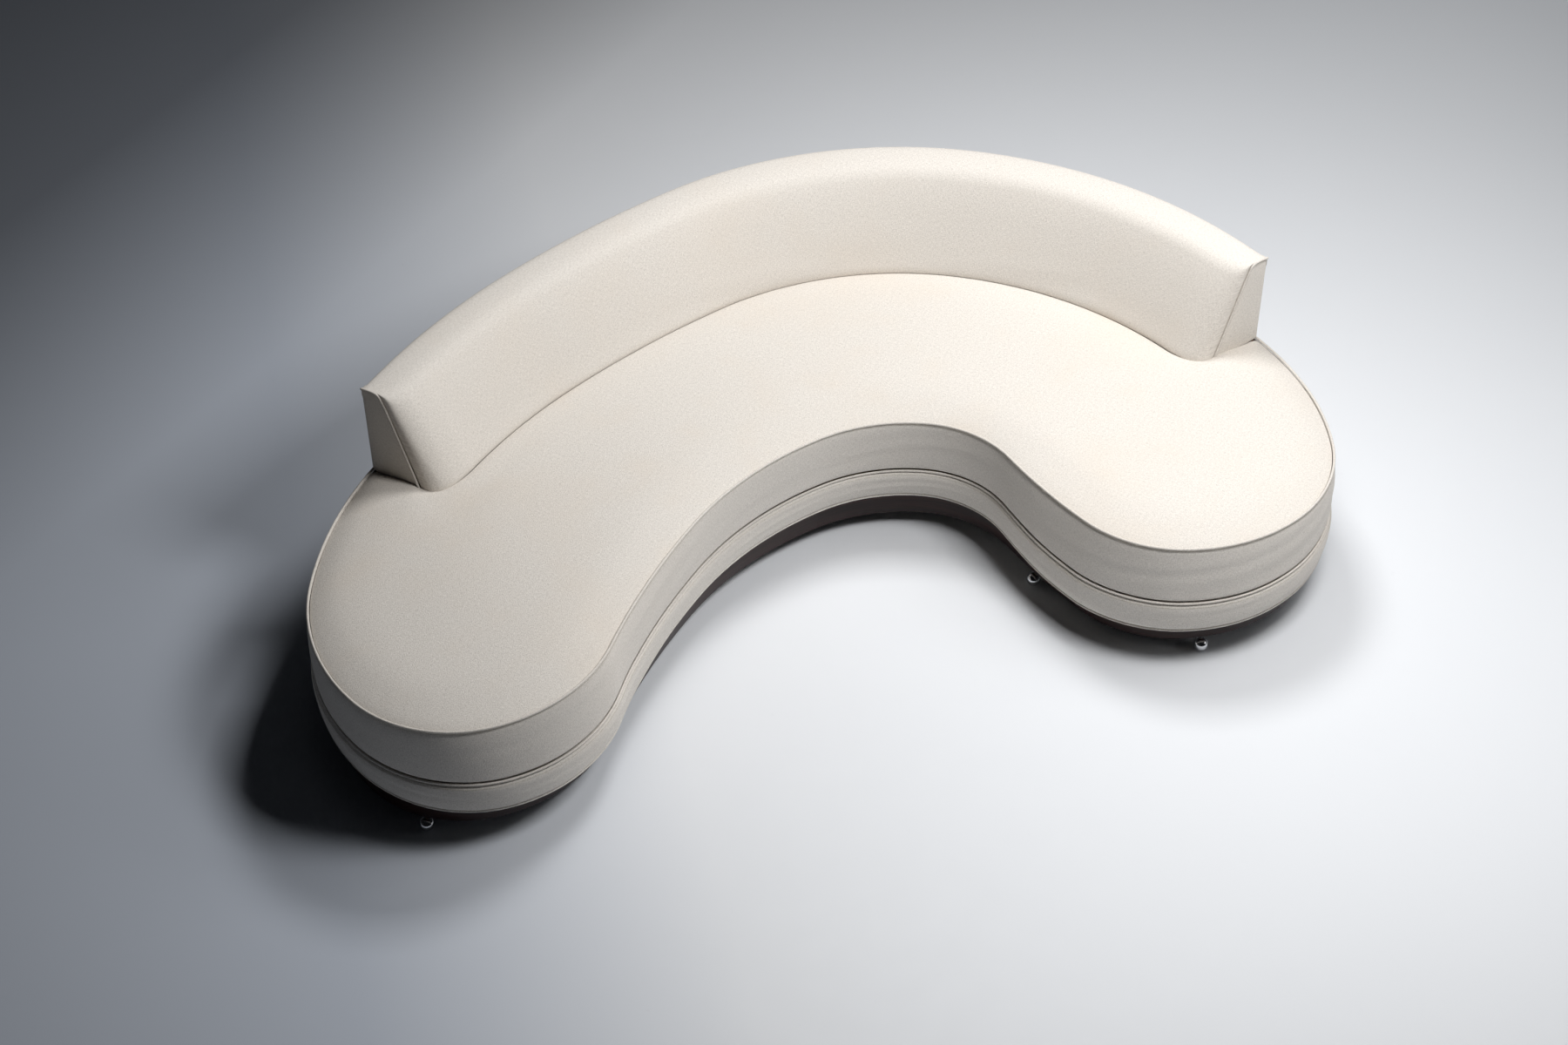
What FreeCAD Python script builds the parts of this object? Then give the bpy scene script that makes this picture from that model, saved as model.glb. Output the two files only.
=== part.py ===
import FreeCAD, Part
import math
import os

from FreeCAD import Vector

os.makedirs("parts", exist_ok=True)

# A kidney-shaped sofa on ball casters. Millimetres, +Z up, floor at z = 0.
# The seat's plan is a closed chain of tangent arcs. Every other curved piece
# is an offset ("inset") of that chain, measured inward from the seat's top welt.

# Plan of the seat's top welt: x, y and heading in degrees, going anticlockwise
# from the left end of the back, round the left lobe, the hollow front and the
# right lobe to the right end of the back, and home along the rear.
plan_stations = [
    (-1169, 1012, -128.5),
    (-1315, 169, -59.5),
    (-654, 216, 60.0),
    (31, 863, 18.0),
    (507, 673, -71.5),
    (858, 226, -12.0),
    (1375, 546, 79.5),
    (1322, 1009, 112.5),
    (-224, 1688, -157.0),
]
left_end_station = 0
right_end_station = 7
plan_centre_x = -3
plan_centre_y = 889

# Heights above the floor
plinth_bottom_z = 50
plinth_top_z = 124
base_top_z = 142
seam_z = 224
strut_top_z = 290
rail_top_z = 326
rim_top_z = 352
seat_welt_z = 400
back_top_z = 690

# Board and cloth thicknesses
board_t = 18
plinth_panel_t = 9
bent_ply_t = 6
cloth_t = 1.5
gap = 0.4

# Side of the sofa: (height, inset) of the two upholstered bands. A negative
# inset stands outside the seat's top welt.
upper_band = [(234, 3), (250, -1), (285, -4), (330, -5), (352, -4), (372, -2), (396, 3)]
lower_band = [(131, -9), (150, -12), (178, -13), (205, -9), (218, -3), (223, 2)]
padding_back_inset = 14
welt_r = 3.5
seat_welt_inset = 2
bottom_welt_inset = -7
bottom_welt_z = 127.5
seam_welt_inset = -1
seam_welt_depth = 8
seam_welt_height = 9

# Seat: the crown rises from the welt towards the middle
crown_height = 26
crown_width = 190
crown_edge_inset = 7
crown_rings = 6
crown_fullness = 2.4
seat_to_back = 2

# Back
back_depth = 246
back_front_foot_z = 412
back_slope = 0.47
back_round_z = 648
back_outer_inset = 5
back_corner_r = 45
back_fullness = 7
roll_degrees = [25, 50, 72, 90]
roll_front_in = 46
roll_rear_in = 26
core_foot_inset = 200
core_slope = 0.392
back_rail_z = 344
top_rail_z = 640
core_top_z = 662
end_panel_foot = 147
end_panel_head = 60
end_panel_top_z = 684
end_corner_r = 16
end_cloth_t = 2
end_pad_t = 8          # padding round the edge of each end board
outside = 40           # how far past the outline a cutting shape reaches

# Casters: the place of each stem along the plan, counted from the left end
caster_places = [430, 1090, 3349, 3921, 5230, 6480, 7820]
stem_inset = 42
stem_r = 4.0
stem_clearance = 0.05
trail = 14
ball_r = 20
axle_r = 2.5
axle_tilt = 45


def unit(degrees):
    angle = math.radians(degrees)
    return Vector(math.cos(angle), math.sin(angle), 0)


def inward(heading):
    return Vector(-heading.y, heading.x, 0)


def sagitta_point(start, heading, end):
    # middle of the arc that leaves start along heading and passes end
    chord = end - start
    half = chord.Length / 2
    along = Vector(chord).normalize()
    turn = math.atan2(heading.cross(along).z, heading.dot(along))
    return (start + end) / 2 - inward(along) * half * math.tan(turn / 2)


def arc_edge(start, heading, end, z):
    lift = Vector(0, 0, z)
    middle = sagitta_point(start, heading, end)
    return Part.Arc(start + lift, middle + lift, end + lift).toShape()


def halfway(first, second):
    # the point and heading where two tangent arcs meet between two stations
    (p, a), (q, b) = first, second
    span = q - p
    both = a + b
    k = 2 * (1 - a.dot(b))
    reach = (math.sqrt(span.dot(both) ** 2 + k * span.dot(span)) - span.dot(both)) / k
    meet = (p + a * reach + q - b * reach) / 2
    heading = ((q - b * reach) - (p + a * reach)).normalize()
    return meet, heading


def closed_chain(stations):
    spots = [(Vector(x - plan_centre_x, y - plan_centre_y, 0), unit(h)) for x, y, h in stations]
    chain = []
    for i, spot in enumerate(spots):
        chain += [spot, halfway(spot, spots[(i + 1) % len(spots)])]
    return chain + [spots[0]]


def arc_length(first, second):
    chord = second[0] - first[0]
    turn = math.atan2(first[1].cross(chord).z, first[1].dot(chord))
    if abs(turn) < 1e-6:
        return chord.Length
    return chord.Length * turn / math.sin(turn)


def spot_between(first, second, share):
    # the point and heading at a share of the arc between two spots
    chord = second[0] - first[0]
    turn = math.atan2(first[1].cross(chord).z, first[1].dot(chord))
    step = chord.Length * math.sin(turn * share) / math.sin(turn)
    at = first[0] + turned(first[1], turn * share) * step
    return at, turned(first[1], 2 * turn * share)


def turned(v, angle):
    c, s = math.cos(angle), math.sin(angle)
    return Vector(v.x * c - v.y * s, v.x * s + v.y * c, 0)


def spot_at(chain, distance):
    for first, second in zip(chain, chain[1:]):
        length = arc_length(first, second)
        if distance <= length:
            return spot_between(first, second, distance / length)
        distance -= length
    return chain[-1]


def chain_length(chain):
    return sum(arc_length(a, b) for a, b in zip(chain, chain[1:]))


def part_of(chain, start, end):
    # the stretch of a chain between two distances along it
    spots = [spot_at(chain, start)]
    run = 0
    for first, second in zip(chain, chain[1:]):
        run += arc_length(first, second)
        if start + 1 < run < end - 1:
            spots.append(second)
    return spots + [spot_at(chain, end)]


def inset_spot(spot, inset):
    return spot[0] + inward(spot[1]) * inset


def edges_along(chain, inset, z):
    edges = []
    for first, second in zip(chain, chain[1:]):
        edges.append(arc_edge(inset_spot(first, inset), first[1], inset_spot(second, inset), z))
    return edges


outline = closed_chain(plan_stations)
body_side = outline[2 * left_end_station:2 * right_end_station + 1]
rear_side = outline[2 * right_end_station:]
body_length = chain_length(body_side)
rear_length = chain_length(rear_side)


def ring(inset, z):
    return Part.Wire(edges_along(outline, inset, z))


def stack(levels):
    # a solid through rings at (height, inset)
    return Part.makeLoft([ring(inset, z) for z, inset in levels], True, True)


def board(inset, z0, z1):
    return Part.Face(ring(inset, z0)).extrude(Vector(0, 0, z1 - z0))


def tube(levels, depth):
    # a hollow band: its outer face follows levels, its wall is depth thick
    return stack(levels).cut(stack([(z, inset + depth) for z, inset in levels]))


def strip_wire(chain, outer, inner, z):
    # the closed outline, at one height, of a curved piece lying between two insets
    lift = Vector(0, 0, z)
    first, last = chain[0], chain[-1]
    far = edges_along(chain, outer, z)
    near = edges_along(chain, inner, z)
    cap = Part.makeLine(inset_spot(last, outer) + lift, inset_spot(last, inner) + lift)
    foot = Part.makeLine(inset_spot(first, inner) + lift, inset_spot(first, outer) + lift)
    return Part.Wire(Part.__sortEdges__(far + [cap] + near + [foot]))


def strip(chain, levels):
    # a curved solid through levels of (height, outer inset, inner inset)
    return Part.makeLoft([strip_wire(chain, a, b, z) for z, a, b in levels], True, True)


def block_at(spot, inset, along, depth, z0, z1):
    # an upright block centred on a spot of the plan, its outer face at an inset
    heading = spot[1]
    corner = inset_spot(spot, inset) - heading * (along / 2) + Vector(0, 0, z0)
    side = inward(heading)
    points = [corner, corner + heading * along,
              corner + heading * along + side * depth, corner + side * depth]
    face = Part.Face(Part.makePolygon(points + [corner]))
    return face.extrude(Vector(0, 0, z1 - z0))


def upright_plate(spot, thickness, profile):
    # a plate square to the outline; profile holds (inset, height) corners
    start = spot[0] - spot[1] * (thickness / 2)
    side = inward(spot[1])
    points = [start + side * inset + Vector(0, 0, z) for inset, z in profile]
    face = Part.Face(Part.makePolygon(points + [points[0]]))
    return face.extrude(spot[1] * thickness)


def post(spot, inset, r, z0, z1):
    return Part.makeCylinder(r, z1 - z0, inset_spot(spot, inset) + Vector(0, 0, z0))


def group(solids):
    return Part.makeCompound(solids)


def cut_all(shape, tools):
    return shape.cut(group(tools))


def write(node, shape):
    shape.exportStep("parts/" + node + ".step")


def spread(count, length, margin):
    step = (length - 2 * margin) / (count - 1)
    return [margin + i * step for i in range(count)]


caster_spots = [spot_at(outline, place) for place in caster_places]


# Four stretches of the outline, for pieces that are made in four bent lengths.
# The rear one runs on a little past both ends of the back.
quarter_names = ["left", "front", "right", "rear"]
two_laps = outline + outline[1:]
lap_length = body_length + rear_length
past_back = 110
left_lobe_end = 1750
front_end = 3500
joint_gap = 1


def quarters():
    marks = [past_back, left_lobe_end, front_end, body_length - past_back, lap_length + past_back]
    return [part_of(two_laps, a + joint_gap / 2, b - joint_gap / 2) for a, b in zip(marks, marks[1:])]


# Plinth and casters
panel_top_inset = 14
panel_bottom_inset = 24
bottom_board_t = 16
dust_cloth_t = 1
dust_cover_inset = 30
socket_r = 6
socket_top_z = 88
socket_bore_top_z = 86
stem_top_z = 84
caster_block_size = (70, 60)
caster_block_inset = 35
glue_block_size = (60, 30)
glue_block_inset = 30.5
glue_block_foot_z = 84
glue_block_count = 30


def plinth_panel(chain):
    return strip(chain, [
        (plinth_bottom_z, panel_bottom_inset, panel_bottom_inset + plinth_panel_t),
        (plinth_top_z, panel_top_inset, panel_top_inset + plinth_panel_t),
    ])


def socket_holes(r, z0, z1):
    return [post(spot, stem_inset, r, z0, z1) for spot in caster_spots]


def plinth_bottom_board():
    inset = panel_bottom_inset + plinth_panel_t + gap
    return cut_all(board(inset, plinth_bottom_z, plinth_bottom_z + bottom_board_t),
                   socket_holes(socket_r, 0, socket_top_z))


def dust_cover():
    # a thin black cloth under the bottom board, with a hole round each caster
    top_z = plinth_bottom_z - gap / 2
    return cut_all(board(dust_cover_inset, top_z - dust_cloth_t, top_z),
                   socket_holes(socket_r + 4, 0, socket_top_z))


def caster_blocks():
    along, depth = caster_block_size
    foot_z = plinth_bottom_z + bottom_board_t
    blocks = [block_at(spot, caster_block_inset, along, depth, foot_z, plinth_top_z)
              for spot in caster_spots]
    return cut_all(group(blocks), socket_holes(socket_r, 0, socket_top_z))


def caster_sockets():
    sleeves = []
    for spot in caster_spots:
        sleeve = post(spot, stem_inset, socket_r, plinth_bottom_z, socket_top_z)
        bore = post(spot, stem_inset, stem_r + stem_clearance, 0, socket_bore_top_z)
        sleeves.append(sleeve.cut(bore))
    return group(sleeves)


def plinth_blocks():
    # glue blocks between the plinth's panels and the base, left out beside the casters
    along, depth = glue_block_size
    clear = along * 1.5
    blocks = []
    for place in spread(glue_block_count, lap_length, clear):
        if min(abs(place - other) for other in caster_places) > clear:
            blocks.append(block_at(spot_at(outline, place), glue_block_inset, along, depth,
                                   glue_block_foot_z, plinth_top_z))
    return group(blocks)


# One caster: a hood on an upright stem, and a domed wheel on a sloping axle.
# It is built with its stem on the Z axis and the ball's centre at (trail, 0, ball_r).
half_split = 0.5
hub_r = 6.5
shell_t = 3
rim_t = 5
wheel_hollow = 9
axle_half = 12
wheel_clearance = 0.06
neck_r = 7
neck_foot_z = 26
neck_top_z = 47


def half_ball(sign):
    # half of the ball about the axle: +1 is the wheel, -1 the hood
    wide = 3 * ball_r
    low = half_split if sign > 0 else -wide - half_split
    return Part.makeSphere(ball_r).common(Part.makeBox(wide, wide, wide, Vector(-wide / 2, -wide / 2, low)))


def annulus(r0, r1, z0, z1):
    outer = Part.makeCylinder(r1, z1 - z0, Vector(0, 0, z0))
    return outer.cut(Part.makeCylinder(r0, z1 - z0, Vector(0, 0, z0)))


def wheel_shape():
    dome = half_ball(1)
    hollow = annulus(hub_r, ball_r - rim_t, 0, wheel_hollow)
    bore = Part.makeCylinder(axle_r + wheel_clearance, axle_half, Vector(0, 0, 0))
    return dome.cut(hollow).cut(bore)


def hood_dome():
    inside = Part.makeSphere(ball_r - shell_t)
    hub = Part.makeCylinder(hub_r, ball_r, Vector(0, 0, -ball_r)).common(half_ball(-1))
    dome = half_ball(-1).cut(inside).fuse(hub)
    return dome.cut(Part.makeCylinder(axle_r, axle_half + 1, Vector(0, 0, -axle_half)))


def axle_shape():
    return Part.makeCylinder(axle_r, 2 * axle_half - 1, Vector(0, 0, -axle_half))


def on_axle(shape):
    # local +Z becomes the axle, sloping down and outward through the ball's centre
    placed = shape.copy()
    placed.rotate(Vector(0, 0, 0), Vector(0, 1, 0), 90 + axle_tilt)
    placed.translate(Vector(trail, 0, ball_r))
    return placed


def hood_shape():
    neck = Part.makeCylinder(neck_r, neck_top_z - neck_foot_z, Vector(0, 0, neck_foot_z))
    neck = neck.cut(Part.makeSphere(ball_r - shell_t / 2, Vector(trail, 0, ball_r)))
    stem = Part.makeCylinder(stem_r, stem_top_z - neck_top_z, Vector(0, 0, neck_top_z))
    return on_axle(hood_dome()).fuse(neck).fuse(stem)


def at_caster(shape, spot):
    # turned so that the ball trails outward from the stem
    placed = shape.copy()
    out = inward(spot[1]) * -1
    placed.rotate(Vector(0, 0, 0), Vector(0, 0, 1), math.degrees(math.atan2(out.y, out.x)))
    placed.translate(inset_spot(spot, stem_inset))
    return placed


# Seat frame
base_board_inset = 10
rim_inset = 14
rail_depth = 80
rear_rail_depth = 230
frame_inset = rim_inset + bent_ply_t + gap
strut_depth = 66
struts_round_front = 21
struts_at_rear = 9
strut_margin = 60
strut_rear_margin = 170
stretcher_z = 200
stretcher_places = [-1000, -560, -120, 320, 740, 1130]


def frame_struts():
    # upright boards round the rim, notched where a stretcher passes
    places = spread(struts_round_front, body_length, strut_margin)
    places += [body_length + s for s in spread(struts_at_rear, rear_length, strut_rear_margin)]
    uprights = [block_at(spot_at(outline, place), frame_inset, board_t, strut_depth,
                         base_top_z, strut_top_z) for place in places]
    return group(uprights).cut(stretchers(gap))


def rim_panels():
    return group([strip(q, [(base_top_z, rim_inset, rim_inset + bent_ply_t),
                            (rim_top_z, rim_inset, rim_inset + bent_ply_t)]) for q in quarters()])


# Bolts that hold the back's bottom rail down on the rear seat rail
bolt_count = 8
bolt_margin = 340
bolt_inset = 70
bolt_r = 4
bolt_head_r = 6.5
bolt_head_h = 5
bolt_foot_z = 292
bolt_clearance = 0.3
nut_r = 5.4
nut_flange_r = 9
nut_flange_t = 1.5
nut_h = 10


def bolt_spots():
    return [spot_at(rear_side, place) for place in spread(bolt_count, rear_length, bolt_margin)]


def bolt_holes(r, z0, z1):
    return [post(spot, bolt_inset, r, z0, z1) for spot in bolt_spots()]


def seat_rails():
    # the rear one is wide: the back stands on it and the springs end on its front edge
    rails = []
    for name, chain in zip(quarter_names, quarters()):
        inner = frame_inset + (rear_rail_depth if name == "rear" else rail_depth)
        rails.append(strip(chain, [(strut_top_z, frame_inset, inner), (rail_top_z, frame_inset, inner)]))
    holes = bolt_holes(bolt_r + bolt_clearance, strut_top_z - 1, rail_top_z + 1)
    holes += bolt_holes(nut_r + bolt_clearance / 3, strut_top_z - 1, strut_top_z + nut_h + 1)
    return cut_all(group(rails), holes)


def stretchers(grow):
    # boards on edge, from the front of the rim to its rear, under the seat rails
    beams = []
    for x in stretcher_places:
        beams.append(Part.makeBox(board_t + 2 * grow, 4000, strut_top_z - stretcher_z + grow,
                                  Vector(x - board_t / 2 - grow, -2000, stretcher_z - grow)))
    return group(beams).common(board(frame_inset + 1, 0, strut_top_z - gap + 2 * grow))


# Zigzag springs run from the front rail to the rear rail
spring_wire_r = 1.9
spring_loop_r = 15
spring_half_width = 26
spring_z = rail_top_z + 3
spring_pitch_x = 150
spring_count = 17
first_spring_x = -1170
spring_end_inset = 62
spring_rear_inset = 252
spring_end_clear = 45
clip_w = 14
clip_l = 18
clip_h = 6.5
strap_t = 1.2


def spring_field():
    # the part of the plan that the springs may cross, clear of what the back stands on
    rear = part_of(two_laps, body_length - spring_end_clear, lap_length + spring_end_clear)
    stand = strip(rear, [(-1, -outside, spring_rear_inset), (1, -outside, spring_rear_inset)])
    return Part.Face(ring(spring_end_inset, 0)).cut(stand)


def spring_runs():
    # (x, first leg's y, number of loops) of each spring
    field = spring_field()
    runs = []
    for i in range(spring_count):
        x = first_spring_x + i * spring_pitch_x
        line = Part.makeLine(Vector(x, -2000, 0), Vector(x, 2000, 0))
        ends = sorted(v.Point.y for v in field.common(line).Vertexes)
        loops = int((ends[-1] - ends[0]) / (2 * spring_loop_r))
        runs.append((x, (ends[0] + ends[-1]) / 2 - loops * spring_loop_r, loops))
    return runs


def zigzag(x, start, turns):
    # half-circle loops joined by straight legs, starting and ending on a leg
    edges = []
    for i in range(turns + 1):
        y = start + i * 2 * spring_loop_r
        side = 1 if i % 2 == 0 else -1
        leg_start = Vector(x - side * spring_half_width, y, spring_z)
        leg_end = Vector(x + side * spring_half_width, y, spring_z)
        edges.append(Part.makeLine(leg_start, leg_end))
        if i < turns:
            tip = leg_end + Vector(side * spring_loop_r, spring_loop_r, 0)
            edges.append(Part.Arc(leg_end, tip, leg_end + Vector(0, 2 * spring_loop_r, 0)).toShape())
    return Part.Wire(edges)


def sinuous_springs():
    wires = []
    for x, start, loops in spring_runs():
        path = zigzag(x, start, loops)
        foot = path.OrderedVertexes[0].Point
        section = Part.Wire(Part.makeCircle(spring_wire_r, foot, Vector(1, 0, 0)))
        wires.append(path.makePipeShell([section], True, False))
    return group(wires)


def clip(x, y):
    # a bent strap over the spring's last leg, nailed to the rail
    room = spring_wire_r + gap
    left = x - clip_w / 2
    body = Part.makeBox(clip_w, clip_l, clip_h, Vector(left, y - clip_l / 2, rail_top_z))
    tunnel = Part.makeBox(clip_w + 2, 2 * room, clip_h - strap_t, Vector(left - 1, y - room, rail_top_z))
    return body.cut(tunnel)


def spring_clips():
    clips = []
    for x, start, loops in spring_runs():
        clips += [clip(x, start), clip(x, start + loops * 2 * spring_loop_r)]
    return group(clips)


# Seat cushioning and covers
def crown(inset):
    # height of the crown over the welt at a distance in from its edge
    share = min(1, (inset - crown_edge_inset) / crown_width)
    return crown_height * (1 - (1 - share) ** crown_fullness)


def crown_levels(shrink):
    levels = []
    for i in range(crown_rings + 1):
        inset = crown_edge_inset + crown_width * (i / crown_rings) ** 2
        levels.append((seat_welt_z - 3 + crown(inset) - shrink, inset + shrink))
    return levels


def back_footprint(extra):
    # the whole stretch that the back stands on, cleared out of the seat
    inner = back_depth + extra
    return strip(back_stretch(hair), [(low_cut_z, -outside, inner), (back_top_z, -outside, inner)])


def seat_foam():
    skin = cloth_t + gap
    band = [(z, inset + skin) for z, inset in upper_band if rim_top_z < z < seat_welt_z - 8]
    levels = [(rim_top_z + 2, band[0][1] - 2)] + band
    levels += [(seat_welt_z - 8, crown_edge_inset + 4)] + crown_levels(skin)[1:]
    return stack(levels).cut(back_footprint(seat_to_back))


def seat_cover():
    outer = [(seat_welt_z - 5, crown_edge_inset)] + crown_levels(0)
    inner = [(seat_welt_z - 6, crown_edge_inset + cloth_t)] + crown_levels(cloth_t)
    return stack(outer).cut(stack(inner)).cut(back_footprint(seat_to_back))


def deck_cloth():
    # the cloth over the springs, under the foam
    sheet = board(frame_inset + 1, rim_top_z, rim_top_z + cloth_t)
    return sheet.cut(back_footprint(seat_to_back))


def side_padding(levels, low, high):
    # strips of padding behind a band, shaped like the band and split in four
    strips = []
    for q in quarters():
        rows = [(z, inset + cloth_t + gap, padding_back_inset - gap) for z, inset in levels
                if low <= z <= high]
        strips.append(strip(q, rows))
    return group(strips)


def welt(inset, z):
    # a round cord along the whole outline
    rows = 6
    outer = []
    inner = []
    for i in range(rows + 1):
        angle = math.pi * (i / rows - 0.5)
        rise = z + welt_r * math.sin(angle)
        reach = welt_r * math.cos(angle) + 0.05
        outer.append((rise, inset - reach))
        inner.append((rise, inset + reach))
    return stack(outer).cut(stack(inner))


def seam_welt():
    # the flat double cord between the two bands
    z0, z1 = seam_z, seam_z + seam_welt_height
    levels = [(z0, seam_welt_inset + 1), (z0 + 2, seam_welt_inset),
              (z1 - 2, seam_welt_inset), (z1, seam_welt_inset + 1)]
    return stack(levels).cut(board(seam_welt_inset + seam_welt_depth, z0 - 1, z1 + 1))


# Back
def core_inset(z):
    return core_foot_inset - (z - back_rail_z) * core_slope


def back_stretch(margin):
    return part_of(rear_side, margin, rear_length - margin)


rib_count = 9
rib_margin = 170
inner_frame_margin = 24
liner_t = 3 - gap
outer_cover_inset = 1.4


def back_ribs():
    ribs = []
    profile = [(frame_inset, back_rail_z), (core_inset(back_rail_z), back_rail_z),
               (core_inset(top_rail_z), top_rail_z), (rim_inset, top_rail_z),
               (rim_inset, rim_top_z + 1), (frame_inset, rim_top_z + 1)]
    for place in spread(rib_count, rear_length, rib_margin):
        ribs.append(upright_plate(spot_at(rear_side, place), board_t, profile))
    return group(ribs)


def back_bottom_rail():
    foot = core_inset(back_rail_z)
    rail = strip(back_stretch(inner_frame_margin),
                 [(rail_top_z, frame_inset, foot), (back_rail_z, frame_inset, foot)])
    return cut_all(rail, bolt_holes(bolt_r + bolt_clearance, rail_top_z - 1, back_rail_z + 1))


def back_top_rail():
    return strip(back_stretch(inner_frame_margin),
                 [(top_rail_z, rim_inset, core_inset(top_rail_z)),
                  (core_top_z - 1, rim_inset, core_inset(core_top_z))])


def back_liner():
    # thin board over the front of the ribs, under the foam
    rows = [(z, core_inset(z) + gap, core_inset(z) + gap + liner_t) for z in (back_rail_z, core_top_z - 1)]
    return strip(back_stretch(inner_frame_margin), rows)


def outer_back_board():
    return strip(back_stretch(inner_frame_margin),
                 [(rim_top_z + gap, rim_inset - bent_ply_t, rim_inset - gap),
                  (core_top_z - 1, rim_inset - bent_ply_t, rim_inset - gap)])


def front_of_back(z):
    return back_depth - max(0, z - back_front_foot_z) * back_slope


def back_levels(grow):
    # (height, outer inset, inner inset) from the tuck behind the seat over the top
    rear = back_outer_inset - grow
    half_z = (back_front_foot_z + back_round_z) / 2
    top_in = front_of_back(back_round_z) + grow
    levels = [(rim_top_z + 2, rear, back_depth - 3 + grow),
              (back_front_foot_z, rear, back_depth + grow),
              (half_z, rear, front_of_back(half_z) + back_fullness + grow),
              (back_round_z, rear, top_in + 2)]
    rise = back_top_z - cloth_t - back_round_z + grow
    first = roll_degrees[0]
    for degrees in roll_degrees:
        angle = math.radians(degrees)
        share = (degrees - first) / (90 - first)
        levels.append((back_round_z + rise * math.sin(angle), rear + roll_rear_in * share ** 1.6,
                       top_in - roll_front_in * (1 - math.cos(angle))))
    return levels


def rounded_strip_wire(margin, outer, inner, z, corner):
    # like a strip, with its two inner corners rounded
    chain = back_stretch(margin)
    trimmed = back_stretch(margin + corner)
    lift = Vector(0, 0, z)
    edges = edges_along(chain, outer, z) + edges_along(trimmed, inner, z)
    for end, soft, sign in ((chain[-1], trimmed[-1], 1), (chain[0], trimmed[0], -1)):
        rear = inset_spot(end, outer) + lift
        turn_start = inset_spot(end, inner - corner) + lift
        turn_end = inset_spot(soft, inner) + lift
        heading = inward(end[1])
        edges.append(Part.makeLine(rear, turn_start))
        middle = sagitta_point(turn_start - lift, heading, turn_end - lift) + lift
        edges.append(Part.Arc(turn_start, middle, turn_end).toShape())
    return Part.Wire(Part.__sortEdges__(edges))


def back_body(grow):
    margin = end_cloth_t - grow + gap
    wires = [rounded_strip_wire(margin, a, b, z, back_corner_r) for z, a, b in back_levels(grow)]
    return Part.makeLoft(wires, True, True)


def end_profile(outer, grow, foot_z):
    # (inset, height) corners of the plain end of the back, grown all round
    return [(outer, foot_z), (end_panel_foot + grow, foot_z),
            (end_panel_foot + grow, back_front_foot_z),
            (end_panel_head + grow, end_panel_top_z + grow),
            (outer, end_panel_top_z + grow)]


def end_plate(near, far, profile):
    # the same plate at both ends of the back, between two distances from the end
    plates = []
    for sign, spot in ((1, rear_side[0]), (-1, rear_side[-1])):
        middle = spot[0] + spot[1] * (sign * (near + far) / 2)
        plates.append(upright_plate((middle, spot[1]), far - near, profile))
    return plates


end_board_far = 20
low_cut_z = rail_top_z - 20
hair = 0.01


def end_boards():
    # each foot steps in to stand on the rear seat rail, inside the rim
    outer = back_outer_inset + end_pad_t
    profile = end_profile(outer, -end_pad_t, rail_top_z + gap)
    profile[0] = (frame_inset, rail_top_z + gap)
    profile += [(outer, rim_top_z + 1), (frame_inset, rim_top_z + 1)]
    return group(end_plate(end_cloth_t + gap, end_board_far, profile))


def end_covers():
    profile = end_profile(back_outer_inset - 1, 1, seat_welt_z + welt_r + 1.5)
    return group(end_plate(gap / 2, end_cloth_t, profile))


def end_room():
    # the space that the end covers, and the boards inside them, take out of the soft back
    cover_room = end_profile(back_outer_inset - cloth_t - hair, cloth_t + hair, low_cut_z)
    board_room = end_profile(-outside, gap - end_pad_t, low_cut_z)
    near = end_cloth_t + gap / 2
    return end_plate(-outside, near, cover_room) + end_plate(near - hair, end_board_far + gap, board_room)


def core_room():
    # the space that the back's frame takes out of the foam
    depth = liner_t + 2 * gap
    return strip(back_stretch(hair), [(low_cut_z, -outside, core_inset(low_cut_z) + depth),
                                      (core_top_z, -outside, core_inset(core_top_z) + depth)])


def back_foam():
    return cut_all(back_body(0), [core_room()] + end_room())


def inside_back_cover():
    skin = back_body(cloth_t).cut(back_body(gap / 2))
    rear = back_outer_inset + 2
    rear_room = strip(back_stretch(hair), [(low_cut_z, -outside, rear), (core_top_z, -outside, rear)])
    return cut_all(skin, [rear_room] + end_room())


def outer_back_cover():
    inner = outer_cover_inset + cloth_t
    return strip(back_stretch(end_cloth_t), [(seat_welt_z + welt_r + 1, outer_cover_inset, inner),
                                             (core_top_z + 12, outer_cover_inset, inner)])


end_welt_foot_in = 6
end_welt_foot_z = 428


def end_welts():
    # a cord along the top and the sloping front edge of each end panel
    cords = []
    for sign, spot in ((1, rear_side[0]), (-1, rear_side[-1])):
        origin = spot[0] - spot[1] * (sign * (welt_r + 0.1))
        side = inward(spot[1])
        up = Vector(0, 0, 1)
        rear = origin + side * back_outer_inset + up * end_panel_top_z
        head = origin + side * end_panel_head + up * end_panel_top_z
        foot = origin + side * (end_panel_foot - end_welt_foot_in) + up * end_welt_foot_z
        back_way = (rear - head).normalize()
        down_way = (foot - head).normalize()
        half = math.acos(back_way.dot(down_way)) / 2
        reach = end_corner_r / math.tan(half)
        centre = head + (back_way + down_way).normalize() * (end_corner_r / math.sin(half))
        middle = centre + (head - centre).normalize() * end_corner_r
        path = Part.Wire([
            Part.makeLine(rear, head + back_way * reach),
            Part.Arc(head + back_way * reach, middle, head + down_way * reach).toShape(),
            Part.makeLine(head + down_way * reach, foot),
        ])
        section = Part.Wire(Part.makeCircle(welt_r, rear, back_way))
        cords.append(path.makePipeShell([section], True, False))
    return group(cords)


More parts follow.
